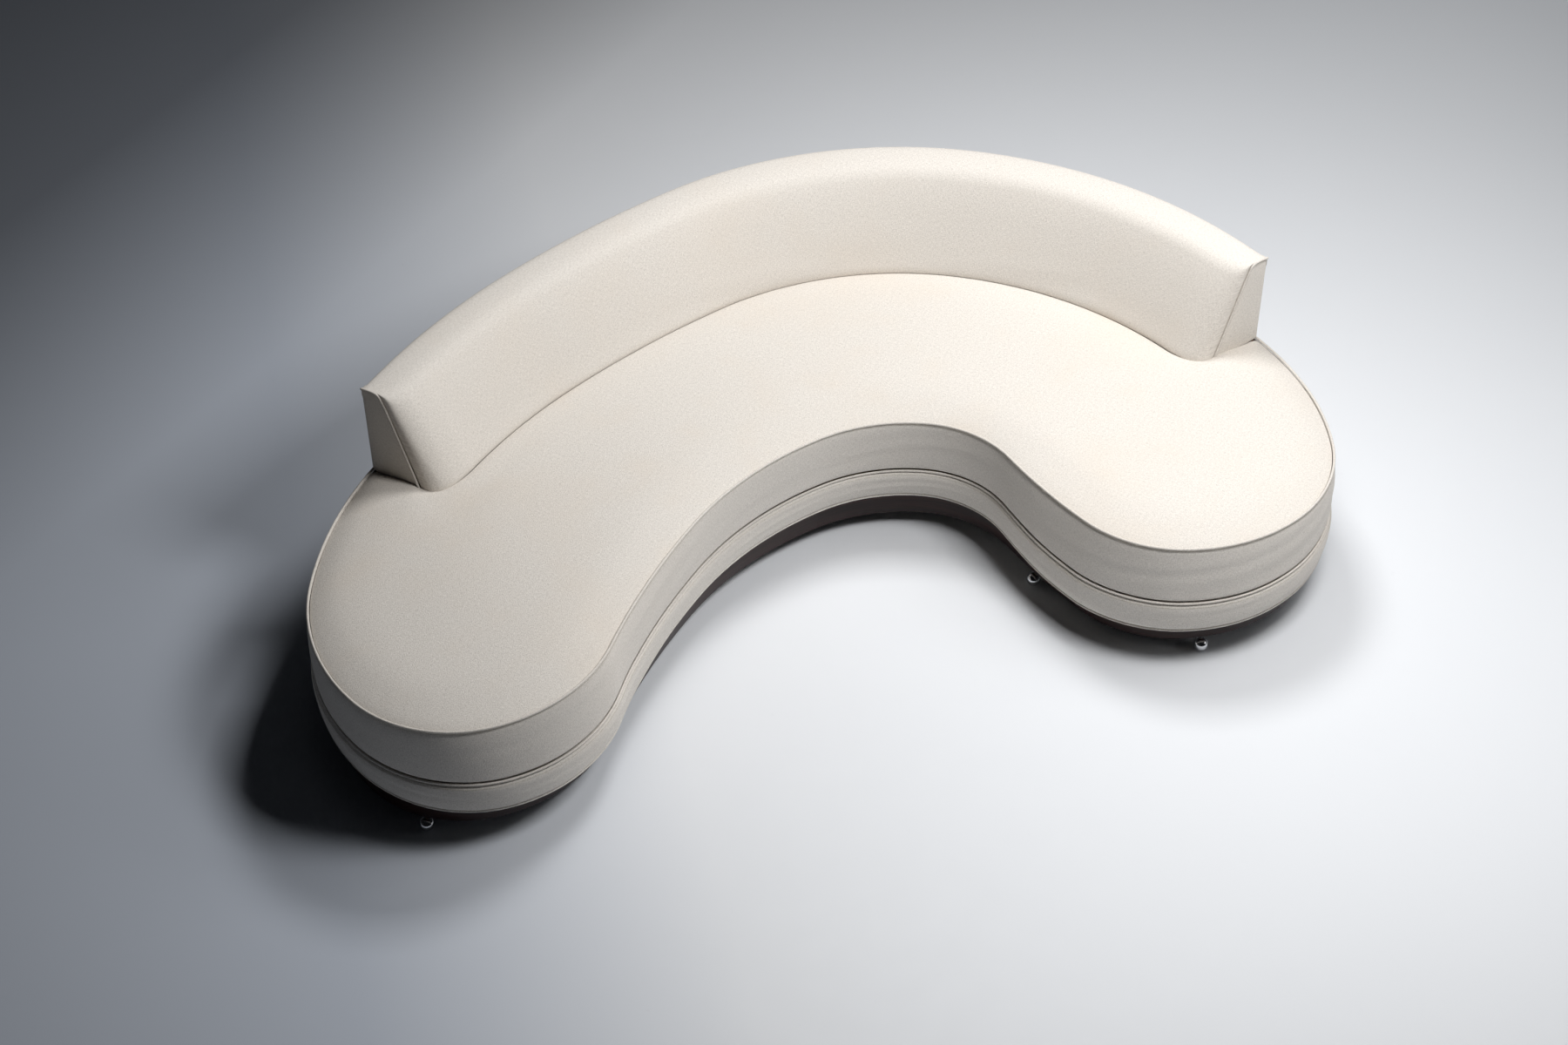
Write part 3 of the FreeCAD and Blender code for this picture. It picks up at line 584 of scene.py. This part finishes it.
def sideShift(run, height):
    # how far out, and how far up, a point of the sides is moved
    full = roundPlan(sides["fullness"], run)
    upper = np.clip((sides["topHeight"] - height) / (sides["topHeight"] - sides["seamHeight"]), 0, 1)
    lower = np.clip((height - sides["edgeHeight"]) / (sides["seamHeight"] - sides["edgeHeight"]), 0, 1)
    above = upper * (full + sides["flare"])
    below = full + lower * sides["flare"]
    out = np.where(height > sides["seamHeight"], above, below)
    return out, roundPlan(sides["tuck"], run) * (1 - lower)


# The two bands round the side: (inset, height) up the outside and down the inside, in metres
upperBand = {
    "outside": ((0.0065, 0.2330), (0.0015, 0.2342), (-0.0014, 0.2385), (-0.0032, 0.2600),
                (-0.0048, 0.3000), (-0.0050, 0.3300), (-0.0042, 0.3560), (-0.0022, 0.3780),
                (0.0008, 0.3925), (0.0045, 0.3975)),
    "inside": ((0.0055, 0.3950), (0.0025, 0.3740), (0.0012, 0.3535), (0.0132, 0.3500), (0.0132, 0.2400),
               (0.0100, 0.2360)),
    "unevenness": 0.0008,
    "seed": 21,
}
lowerBand = {
    "outside": ((0.0020, 0.1325), (-0.0060, 0.1317), (-0.0095, 0.1350), (-0.0115, 0.1480),
                (-0.0125, 0.1700), (-0.0122, 0.1880), (-0.0112, 0.2040), (-0.0085, 0.2150),
                (-0.0030, 0.2222), (0.0065, 0.2240)),
    "inside": ((0.0140, 0.2190), (0.0152, 0.2100), (0.0132, 0.1500), (0.0090, 0.1430)),
    "unevenness": 0.0010,
    "seed": 22,
}


def sideBand(name, band, nodes, columns=720, rowsOutside=20):
    outside = spline(band["outside"], rowsOutside)
    inside = np.array(band["inside"])
    profile = np.concatenate([outside, inside])
    run = np.linspace(0, lapLength, columns, endpoint=False)
    depth = np.repeat(profile[:, :1], columns, axis=1)
    height = profile[:, 1:]
    share = (outside[:, 1:] - outside[0, 1]) / (outside[-1, 1] - outside[0, 1])
    belly = np.sin(math.pi * np.clip(share, 0, 1))
    turn = 2 * math.pi * run / lapLength
    lapRadius = lapLength / 6.28   # the run is laid on a ring, so that its ripple closes
    where = (lapRadius * np.cos(turn) + 0 * share, lapRadius * np.sin(turn) + 2 * share)
    waviness = ripple(band["seed"], where, 7, 0.5)
    depth[:rowsOutside] -= band["unevenness"] * belly * waviness
    out, up = sideShift(run[None, :], height)
    out[rowsOutside:] = np.minimum(out[rowsOutside:], 0.004)
    grid = lift(inset(run[None, :], depth - out), height + up)
    steps = np.concatenate([[0], np.cumsum(np.linalg.norm(np.diff(profile, axis=0), axis=1)), [1.0]])
    us = np.append(run, lapLength)
    piece = gridPiece(name, grid, us, steps, closedCols=True, closedRows=True)
    piece.data.materials.append(bandCloth)
    subdivide(piece)
    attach(piece, "frame")
    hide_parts(*nodes)
    return piece


sideBand("UpperBand", upperBand, ("band_padding", "band_cover"))
sideBand("LowerBand", lowerBand, ("rail_padding", "rail_cover"))
print("side bands done")


# Welts
def frameAlong(path, closed):
    # the direction of a path at each of its points
    ahead = np.roll(path, -1, axis=0) - np.roll(path, 1, axis=0)
    if not closed:
        ahead[0] = path[1] - path[0]
        ahead[-1] = path[-1] - path[-2]
    ahead /= np.linalg.norm(ahead, axis=1, keepdims=True)
    return ahead


def cordPiece(name, path, ups, radius, closed, rings=12, seed=1, lumps=0.05):
    # a covered cord along a path; ups is the direction of its "top" at each point
    ahead = frameAlong(path, closed)
    side = np.cross(ahead, ups)
    side /= np.linalg.norm(side, axis=1, keepdims=True)
    top = np.cross(side, ahead)
    run = np.concatenate([[0], np.cumsum(np.linalg.norm(np.diff(path, axis=0), axis=1))])
    around = np.linspace(0, 2 * math.pi, rings, endpoint=False)
    swell = 1 + lumps * ripple(seed, (run, 0 * run), 6, 0.03)
    grid = path[None] + radius * swell[None, :, None] * (
        np.cos(around)[:, None, None] * side[None] + np.sin(around)[:, None, None] * top[None])
    us = np.append(run, run[-1] + np.linalg.norm(path[0] - path[-1])) if closed else run
    vs = np.append(around, 2 * math.pi) * radius
    piece = gridPiece(name, grid, us, vs, closedCols=closed, closedRows=True, capRows=not closed)
    piece.data.materials.append(weltCloth)
    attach(piece, "frame")
    return piece


def stitchRow(name, path, outs, closed, stitch=0.0034, space=0.0012, radius=0.00045):
    # small thread stitches along a path, each one a low hump
    run = np.concatenate([[0], np.cumsum(np.linalg.norm(np.diff(path, axis=0), axis=1))])
    total = run[-1] + (np.linalg.norm(path[0] - path[-1]) if closed else 0)
    if closed:
        path = np.vstack([path, path[:1]])
        outs = np.vstack([outs, outs[:1]])
        run = np.append(run, total)
    count = int(total / (stitch + space))
    starts = (np.arange(count) + 0.5) * total / count - stitch / 2
    shares = np.array([0.0, 0.25, 0.75, 1.0])
    thick = np.array([0.35, 1.0, 1.0, 0.35])
    sink = np.array([-1.0, 0.2, 0.2, -1.0])
    at = starts[:, None] + stitch * shares[None]
    spots = np.stack([np.interp(at, run, path[:, k]) for k in range(3)], axis=-1)
    away = np.stack([np.interp(at, run, outs[:, k]) for k in range(3)], axis=-1)
    away /= np.linalg.norm(away, axis=-1, keepdims=True)
    ahead = spots[:, 3:] - spots[:, :1]
    ahead = ahead / np.linalg.norm(ahead, axis=-1, keepdims=True)
    side = np.cross(ahead, away)
    around = np.arange(4) * math.pi / 2
    ring = (np.cos(around)[None, None, :, None] * side[:, :, None]
            + np.sin(around)[None, None, :, None] * away[:, :, None])
    centre = spots + away * (radius * sink)[None, :, None]
    points = centre[:, :, None] + ring * (radius * thick)[None, :, None, None]
    faces = []
    for s in range(count):
        base = s * 16
        for i in range(3):
            for j in range(4):
                k = (j + 1) % 4
                here = base + i * 4
                faces.append((here + j, here + k, here + 4 + k, here + 4 + j))
        faces.append((base + 3, base + 2, base + 1, base))
        faces.append((base + 12, base + 13, base + 14, base + 15))
    piece = meshPiece(name, points.reshape(-1, 3), faces)
    piece.data.materials.append(stitchThread)
    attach(piece, "frame")
    return piece


welts = {
    "step": 0.0065,
    "seat": {"inset": 0.0020, "height": 0.4002, "radius": 0.0036},
    "seam": {"inset": -0.0008, "height": 0.2286, "radius": 0.0032},
    "bottom": {"inset": -0.0066, "height": 0.1279, "radius": 0.0031},
    "seatStitches": (-0.0013, 0.3958),     # inset and height of each row of stitches
    "seamStitches": (-0.0078, 0.2172),
}


def plainRing(depth, height):
    count = int(lapLength / welts["step"])
    run = np.linspace(0, lapLength, count, endpoint=False)
    out, up = sideShift(run, height)
    path = lift(inset(run, depth - out), height + up)
    headings = along(run)[1]
    return path, lift(-1j * headings, 0.0)


upwards = np.array([[0.0, 0.0, 1.0]])


def ringWelt(name, facts, node, seed):
    path = plainRing(facts["inset"], facts["height"])[0]
    piece = cordPiece(name, path, np.repeat(upwards, len(path), 0), facts["radius"], True, seed=seed)
    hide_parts(node)
    return piece


ringWelt("SeatWelt", welts["seat"], "seat_welt", 31)
ringWelt("SeamWelt", welts["seam"], "seam_welt", 32)
ringWelt("BottomWelt", welts["bottom"], "bottom_welt", 33)
path, outs = plainRing(*welts["seatStitches"])
stitchRow("SeatWeltStitches", path, outs, True)
path, outs = plainRing(*welts["seamStitches"])
stitchRow("SeamWeltStitches", path, outs, True)
print("welts done")


# Back
back = {
    # (inset, height) from the tuck behind the seat, up and over the top, to the rear seam
    "middle": ((0.2360, 0.3900), (0.2425, 0.4000), (0.2462, 0.4100), (0.2460, 0.4220), (0.2400, 0.4400),
               (0.2220, 0.4800), (0.2030, 0.5200), (0.1830, 0.5600), (0.1625, 0.6000), (0.1460, 0.6300),
               (0.1340, 0.6500), (0.1225, 0.6670), (0.1080, 0.6800), (0.0900, 0.6875), (0.0680, 0.6915),
               (0.0440, 0.6930), (0.0260, 0.6925), (0.0120, 0.6890), (0.0045, 0.6800), (0.0035, 0.6580)),
    # and the same points where the padding ends at the end panels
    "end": ((0.1678, 0.3900), (0.1642, 0.4000), (0.1606, 0.4100), (0.1562, 0.4220), (0.1497, 0.4400),
            (0.1352, 0.4800), (0.1207, 0.5200), (0.1062, 0.5600), (0.0917, 0.6000), (0.0808, 0.6300),
            (0.0735, 0.6500), (0.0668, 0.6685), (0.0605, 0.6800), (0.0510, 0.6862), (0.0370, 0.6885),
            (0.0250, 0.6890), (0.0150, 0.6890), (0.0060, 0.6875), (0.0030, 0.6800), (0.0030, 0.6580)),
    # how each end is rounded in plan: distance from the end, share of the way out to the full form
    "endRound": ((0.0010, 0.0), (-0.0020, 0.20), (-0.0010, 0.36), (0.0050, 0.50), (0.0140, 0.62),
                 (0.0260, 0.73), (0.0430, 0.84), (0.0600, 0.91), (0.0850, 0.965), (0.1150, 1.0)),
    "endColumns": 26,
    "unevenness": 0.0010,
    "headSharpness": 0.65,    # how far the rounding reaches at the top, against the foot
    "rows": 64,
    "step": 0.012,
    "core": ((0.2045, 0.3900), (0.1600, 0.4950), (0.0835, 0.6620), (0.0300, 0.6600), (0.0110, 0.6585)),
    "endBoardDepth": 0.0210,
    "endSkin": 0.0022,
    "pressure": 2.4,
    "cap": 0.0035,
    "easing": 30,
}


def backGrid():
    rows = back["rows"]
    both = spline(np.hstack([back["middle"], back["end"]]), rows)
    middle, end = both[:, :2], both[:, 2:]
    rise = np.linspace(0, 1, rows)[:, None]
    turn = spline(back["endRound"], back["endColumns"])
    reach = turn[-1, 0]
    count = int((rearLength - 2 * reach) / back["step"])
    between = np.linspace(reach, rearLength - reach, count)[1:-1]
    firm = 1 - (1 - back["headSharpness"]) * rise
    near = turn[None, :, 0] * firm + reach * (1 - firm) * smoothStep(turn[None, :, 0] / reach)
    columns = np.hstack([near, np.repeat(between[None], rows, 0), rearLength - near[:, ::-1]])
    share = np.concatenate([turn[:, 1], np.ones(between.shape), turn[::-1, 1]])[None, :]
    depth = end[:, :1] + (middle[:, :1] - end[:, :1]) * share
    height = end[:, 1:] + (middle[:, 1:] - end[:, 1:]) * share
    fromEnd = np.minimum(columns, rearLength - columns)
    belly = smoothStep(rise / 0.12) * smoothStep((1 - rise) / 0.15) * smoothStep(fromEnd / 0.15)
    depth = depth + back["unevenness"] * ripple(41, (columns, 0.45 * rise + 0 * columns), 8, 0.6) * belly
    askew = columns - splay(columns, depth, rise)
    return lift(inset(lapLength - askew, depth), height), columns[0], share[0]


def backCushion():
    grid, columns, share = backGrid()
    rows, cols = grid.shape[:2]
    faces, corners = gridFaces(rows, cols)
    points = grid.reshape(-1, 3)
    held = np.zeros((rows, cols))
    held[:5] = held[-4:] = 1.0
    held[:, :12] = held[:, -12:] = 1.0
    outsideOut = [face[::-1] for face in faces]
    points = puff(points, outsideOut, held, back["pressure"], back["cap"], back["easing"])
    grid = points.reshape(rows, cols, 3)
    # the hidden side runs down the frame behind, or just inside the end boards
    core = spline(back["core"], rows)
    endLine = spline(back["end"], rows) - np.array([back["endSkin"], 0.0018])
    fromEnd = np.maximum(np.minimum(columns, rearLength - columns), back["endSkin"])
    atEnd = (fromEnd < back["endBoardDepth"])[None, :]
    where = np.where(columns < rearLength / 2, fromEnd, rearLength - fromEnd)
    hidden = lift(inset(lapLength - where[None, :], np.where(atEnd, endLine[:, :1], core[:, :1])),
                  np.where(atEnd, endLine[:, 1:], core[:, 1:]))[::-1]
    closed = np.concatenate([grid, hidden])
    down = np.concatenate([[0], np.cumsum(np.linalg.norm(np.diff(grid[:, cols // 2], axis=0), axis=1))])
    run = np.concatenate([down, down[-1] + 0.01 + down, [2 * down[-1] + 0.02]])
    faces, corners = gridFaces(2 * rows, cols, closedRows=True)
    spots = [[(columns[j], run[i]) for i, j in face] for face in corners]
    for j, turned in ((0, False), (cols - 1, True)):
        for i in range(rows - 1):
            ladder = [i, i + 1, 2 * rows - 2 - i, 2 * rows - 1 - i]
            ladder = ladder[::-1] if turned else ladder
            faces.append([k * cols + j for k in ladder])
            spots.append([(columns[j], run[k]) for k in ladder])
    faces, spots = [face[::-1] for face in faces], [c[::-1] for c in spots]
    piece = meshPiece("InsideBack", closed.reshape(-1, 3), faces, spots)
    piece.data.materials.append(backCloth)
    subdivide(piece)
    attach(piece, "frame")
    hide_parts("back_foam", "inside_back_cover")
    return piece


backCushion()

outerBack = {
    "foot": 0.4048,
    "head": 0.6600,
    "endGap": 0.0030,
    "inset": 0.0060,
    "belly": 0.0040,
    "unevenness": 0.0005,
    "thickness": 0.0012,
    "step": 0.016,
    "rows": 22,
}


def outerBackPanel():
    gap = outerBack["endGap"]
    count = int((rearLength - 2 * gap) / outerBack["step"])
    columns = np.linspace(gap, rearLength - gap, count)
    rise = np.linspace(0, 1, outerBack["rows"])[:, None]
    fromEnd = np.minimum(columns, rearLength - columns)[None, :]
    full = (1 - (2 * rise - 1) ** 6) * (1 - (1 - np.clip(fromEnd / 0.03, 0, 1)) ** 3)
    depth = outerBack["inset"] - outerBack["belly"] * full
    uneven = ripple(51, (columns[None, :] + 0 * rise, 0.3 * rise + 0 * fromEnd), 7, 0.4)
    depth = depth - outerBack["unevenness"] * full * uneven
    height = outerBack["foot"] + (outerBack["head"] - outerBack["foot"]) * rise
    outer = lift(inset(lapLength - columns[None, :], depth), height)
    innerDepth = np.full((2, count), outerBack["inset"] + outerBack["thickness"])
    inner = lift(inset(lapLength - columns[None, :], innerDepth),
                 np.array([[outerBack["head"]], [outerBack["foot"]]]))
    closed = np.concatenate([outer, inner])[::-1]
    vs = np.concatenate([height[:, 0], [0.7, 1.0, 1.02]])
    piece = gridPiece("OuterBack", closed, columns, vs, closedRows=True, capRows=True)
    piece.data.materials.append(backCloth)
    subdivide(piece)
    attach(piece, "frame")
    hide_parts("outer_back_cover")


outerBackPanel()


# End panels: (inset, height) corners of the plain trapezium at each end of the back
endPanel = {
    "footRear": (0.0040, 0.3990),
    "footFront": (0.1660, 0.3950),
    "headFront": (0.0610, 0.6860),
    "headRear": (0.0035, 0.6860),
    "belly": 0.0030,
    "edge": 0.0004,
    "backing": 0.0016,
    "cornerRound": 0.014,
    "welt": 0.0034,
    "weltOut": 0.0030,        # how far the welt and its stitches stand out past the end
    "stitchesOut": 0.0026,
    "stitchesIn": -0.0060,    # the stitches run beside the welt
    # (inset, height) of the welt: along the top, round the corner, down the sloping front edge
    "weltLine": ((0.0035, 0.6870), (0.020, 0.6882), (0.038, 0.6880), (0.0500, 0.6862),
                 (0.0590, 0.6800), (0.0650, 0.6690), (0.0797, 0.6330), (0.1018, 0.5720),
                 (0.1297, 0.4950), (0.1555, 0.4240), (0.1613, 0.4080)),
}


def endPanelPiece(name, end, outward):
    # end is the distance round the plan, outward the sign of the way that the panel faces
    across = np.linspace(0, 1, 22)[None, :]
    rise = np.linspace(0, 1, 34)[:, None]
    footRear, footFront, headFront, headRear = [np.array(endPanel[key]) for key in
                                                ("footRear", "footFront", "headFront", "headRear")]
    foot = footRear[:, None, None] * (1 - across) + footFront[:, None, None] * across
    head = headRear[:, None, None] * (1 - across) + headFront[:, None, None] * across
    flat = foot * (1 - rise) + head * rise
    # ease the top front corner round
    cut = endPanel["cornerRound"] * np.exp(-((1 - across) * 8) ** 2 - ((1 - rise) * 20) ** 2)
    flat = flat - np.stack([0.35 * cut, 0.35 * cut])
    full = (1 - (2 * across - 1) ** 6) * (1 - (2 * rise - 1) ** 8)
    spot, heading = along(np.array([end]))
    out = heading * outward
    thickness = endPanel["edge"] + endPanel["belly"] * full
    askew = splay(0.0, flat[0], rise) if outward > 0 else 0.0
    front = spot + 1j * heading * flat[0] + out * (thickness + askew)
    rear = spot + 1j * heading * flat[0] - out * (endPanel["backing"] - askew) + 0 * thickness
    front, rear = lift(front, flat[1]), lift(rear, flat[1])
    rows, cols = front.shape[:2]
    skin = np.concatenate([front, rear[:, ::-1]], axis=1)
    faces, corners = gridFaces(rows, 2 * cols, closedCols=True)
    if outward < 0:
        faces = [face[::-1] for face in faces]
        corners = [face[::-1] for face in corners]
    spots = [[(0.006 * (j if j < cols else 2 * cols - j), 0.008 * i) for i, j in face] for face in corners]
    for i, flip in ((0, True), (rows - 1, False)):
        order = list(range(2 * cols))
        if flip == (outward > 0):
            order = order[::-1]
        faces.append([i * 2 * cols + j for j in order])
        spots.append([(0.006 * j, 0.001) for j in order])
    piece = meshPiece(name, skin.reshape(-1, 3), faces, spots)
    piece.data.materials.append(backCloth)
    subdivide(piece)
    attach(piece, "frame")
    return piece


def endWeltPath(end, outward, depthShift, outShift):
    line = spline(endPanel["weltLine"], 90)
    tangent = frameAlong(np.hstack([line, 0 * line[:, :1]]), False)
    normal = np.stack([tangent[:, 1], -tangent[:, 0]], axis=1)
    line = line - normal * depthShift
    spot, heading = along(np.array([end]))
    rise = (line[:, 1] - 0.4) / 0.29
    askew = splay(0.0, line[:, 0], rise) if outward > 0 else 0.0
    plane = spot + 1j * heading * line[:, 0] + heading * outward * (outShift + askew)
    outs = lift(heading * outward + 0 * plane, 0.0)
    return lift(plane, line[:, 1]), outs


def endOfBack(side, end, outward):
    panel = endPanelPiece("EndPanel" + side, end, outward)
    path, outs = endWeltPath(end, outward, 0.0, endPanel["weltOut"])
    cord = cordPiece("EndWelt" + side, path, outs, endPanel["welt"], False, seed=61)
    path, outs = endWeltPath(end, outward, endPanel["stitchesIn"], endPanel["stitchesOut"])
    stitchRow("EndWeltStitches" + side, path, outs, False)
    return panel, cord


leftPanel, leftCord = endOfBack("Left", 0.0, 1)
rightPanel, rightCord = endOfBack("Right", bodyLength, -1)
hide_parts("end_covers")
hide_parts("end_welts")
print("back done")


# Finishes of what the model carries over
darkPlinth = darkWood("darkPlinth")
plywood = paleWood("plywood", (0.52, 0.36, 0.20), (0.36, 0.23, 0.12), (4, 4, 160))
hardwood = paleWood("hardwood", (0.46, 0.29, 0.15), (0.30, 0.17, 0.08), (60, 3, 60))
chrome = metal("chrome", (0.72, 0.73, 0.75), 0.06, 0.06)
springSteel = metal("springSteel", (0.28, 0.28, 0.29), 0.32, 0.2)
zincSteel = metal("zincSteel", (0.62, 0.62, 0.60), 0.28, 0.2)
finishes = {
    # base_board takes the plinth's dark finish as painted shade: its edge shows under the lower band, where
    # there is only shade.
    darkPlinth: ["plinth_left", "plinth_front", "plinth_right", "plinth_rear", "base_board"],
    plywood: ["plinth_bottom_board", "rim_panels", "back_liner", "outer_back_board"],
    hardwood: ["plinth_blocks", "caster_blocks", "frame_struts", "seat_rails", "stretchers",
               "back_bottom_rail", "back_ribs", "back_top_rail", "end_boards"],
    springSteel: ["sinuous_springs", "spring_clips"],
    zincSteel: ["caster_sockets", "back_bolts", "tee_nuts"],
    chrome: ["caster_%s_%d" % (part, n) for part in ("hood", "axle", "wheel") for n in range(1, 8)],
}
for finish, names in finishes.items():
    for name in names:
        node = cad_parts[name]
        if not node.material_slots:
            node.data.materials.append(finish)
        for holder in node.material_slots:
            holder.link = "OBJECT"
            holder.material = finish


# The black cloth stretched under the plinth, with a hole round each caster's stem
dustCloth = {"inset": 0.031, "height": 0.0490, "thickness": 0.0008, "hole": 0.010, "casters": 7}


def closedLine(curve, plane):
    line = curve.splines.new("POLY")
    line.points.add(len(plane) - 1)
    for point, spot in zip(line.points, plane):
        point.co = (spot.real, spot.imag, 0, 1)
    line.use_cyclic_u = True


def stemSpot(n):
    # the hood's stem is its highest part
    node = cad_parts["caster_hood_%d" % n]
    spots = [node.matrix_world @ v.co for v in node.data.vertices]
    top = max(spot.z for spot in spots)
    ring = [(spot.x, spot.y) for spot in spots if spot.z > top - 0.0005]
    x, y = [(max(values) + min(values)) / 2 for values in zip(*ring)]
    return complex(x, y)


def dustCover():
    edge = inset(np.linspace(0, lapLength, 420, endpoint=False), dustCloth["inset"])
    curve = bpy.data.curves.new("dustCloth", "CURVE")
    curve.dimensions = "2D"
    curve.fill_mode = "BOTH"
    curve.extrude = dustCloth["thickness"] / 2
    closedLine(curve, edge)
    around = dustCloth["hole"] * np.exp(2j * math.pi * np.arange(20) / 20)
    for n in range(1, dustCloth["casters"] + 1):
        closedLine(curve, stemSpot(n) + around)
    trial = bpy.data.objects.new("dustClothTrial", curve)
    bpy.context.scene.collection.objects.link(trial)
    mesh = bpy.data.meshes.new_from_object(trial.evaluated_get(bpy.context.evaluated_depsgraph_get()))
    bpy.data.objects.remove(trial)
    piece = bpy.data.objects.new("DustCover", mesh)
    bpy.context.scene.collection.objects.link(piece)
    piece.location.z = dustCloth["height"]
    layer = mesh.uv_layers.new(name="cloth")
    for loop in mesh.loops:
        layer.data[loop.index].uv = mesh.vertices[loop.vertex_index].co[:2]
    mesh.materials.clear()
    mesh.materials.append(blackCloth("dustBlack"))
    outlineArea = abs((edge * np.roll(edge, -1).conjugate()).imag.sum()) / 2
    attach(piece, "frame")
    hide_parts("dust_cover")


dustCover()
print("finishes done")


# Floor, light and camera
def studioFloor():
    size = 30.0
    corners = [(-size, -size, 0), (size, -size, 0), (size, size, 0), (-size, size, 0)]
    floor = meshPiece("StudioFloor", corners, [(0, 1, 2, 3)])
    m = Nodes("studioFloorPaint")
    spots = m.objectSpots()
    apart = m.add("ShaderNodeSeparateXYZ")
    m.link(spots, apart.inputs[0])
    cloudy = m.noise(spots, 0.7, 3.0)
    scuffs = m.noise(spots, 9.0, 6.0, 0.7)
    marks = m.noise(m.stretch(spots, (14, 9, 1)), 1.0, 8.0, 0.75)
    # Painted light: the floor's colour runs lighter towards the right, where light pools.
    across = m.math("MULTIPLY_ADD", apart.outputs[0], 0.5, 1.0)
    towardsPaintedShade = m.math("MULTIPLY_ADD", m.math("SUBTRACT", apart.outputs[1], apart.outputs[0]), 0.25, -0.3)
    paint = m.ramp(across, [(0.30, (0.575, 0.620, 0.700)), (0.76, (0.850, 0.865, 0.890))])
    paint = m.blend(m.math("MULTIPLY", cloudy, 0.12), paint, (0.55, 0.58, 0.63))
    # Painted shade: the floor is darkened towards the far left corner.
    paintedCornerShade = m.ramp(towardsPaintedShade, [(0.34, (0, 0, 0)), (0.75, (0.66, 0.66, 0.66))])
    paint = m.blend(paintedCornerShade, paint, (0.07, 0.075, 0.09))
    worn = m.math("MULTIPLY", m.math("SMOOTH_MAX", m.math("SUBTRACT", marks, 0.66), 0.0, 0.02), 1.6)
    m.set(colour=m.blend(worn, paint, (0.36, 0.38, 0.42)), specular=0.3,
          roughness=m.math("MULTIPLY_ADD", scuffs, 0.25, 0.40))
    floor.data.materials.append(m.material)


lights = {
    # name: (place, what it faces, width, height, watts, colour)
    "overheadSoftbox": ((1.2, -1.2, 3.2), (0.5, -0.1, 0.2), 1.0, 1.0, 62.0, (1.0, 1.0, 1.0)),
    "rearSoftbox": ((0.65, 0.9, 3.3), (0.5, -0.1, 0.2), 0.9, 0.9, 54.0, (1.0, 1.0, 1.0)),
    "rightSoftbox": ((2.3, -0.6, 2.8), (0.5, -0.1, 0.2), 1.5, 1.5, 19.0, (1.0, 1.0, 1.0)),
    "lowRightFill": ((3.2, -1.8, 1.2), (1.0, -0.4, 0.1), 1.2, 1.2, 6.0, (1.0, 1.0, 1.0)),
    "backgroundGlow": ((3.1, 2.4, 1.9), (2.9, 2.0, 0.0), 1.2, 1.2, 5.0, (0.92, 0.96, 1.0)),
}


studioAir = {"colour": (0.85, 0.92, 1.0, 1), "strength": 0.006}


def studioLights():
    for name, (place, target, width, height, watts, colour) in lights.items():
        lamp = bpy.data.lights.new(name, "AREA")
        lamp.shape = "RECTANGLE"
        lamp.size = width
        lamp.size_y = height
        lamp.energy = watts
        lamp.color = colour
        holder = bpy.data.objects.new(name, lamp)
        holder.location = place
        holder.rotation_mode = "QUATERNION"
        holder.rotation_quaternion = (Vector(target) - Vector(place)).to_track_quat("-Z", "Y")
        bpy.context.scene.collection.objects.link(holder)
    world = bpy.data.worlds.new("studioAir")
    world.use_nodes = True
    air = world.node_tree.nodes["Background"]
    air.inputs[0].default_value = studioAir["colour"]
    air.inputs[1].default_value = studioAir["strength"]
    bpy.context.scene.world = world


camera = {
    "place": (-1.2653, -5.7229, 5.5408),
    "right": (0.97693043, -0.21337079, -0.00893495),
    "up": (0.15191403, 0.66492385, 0.73129912),
    "forward": (0.15009681, 0.71578571, -0.68199836),
    "lens": 66.0,
}


def studioCamera():
    data = bpy.data.cameras.new("studioCamera")
    data.sensor_width = 36.0
    data.lens = camera["lens"]
    data.clip_end = 60.0
    holder = bpy.data.objects.new("studioCamera", data)
    turn = Matrix((camera["right"], camera["up"], [-v for v in camera["forward"]])).transposed()
    holder.matrix_world = Matrix.Translation(camera["place"]) @ turn.to_4x4()
    bpy.context.scene.collection.objects.link(holder)
    bpy.context.scene.camera = holder


studioFloor()
studioLights()
studioCamera()
bpy.context.scene.view_settings.view_transform = "Standard"
print("stage ready")
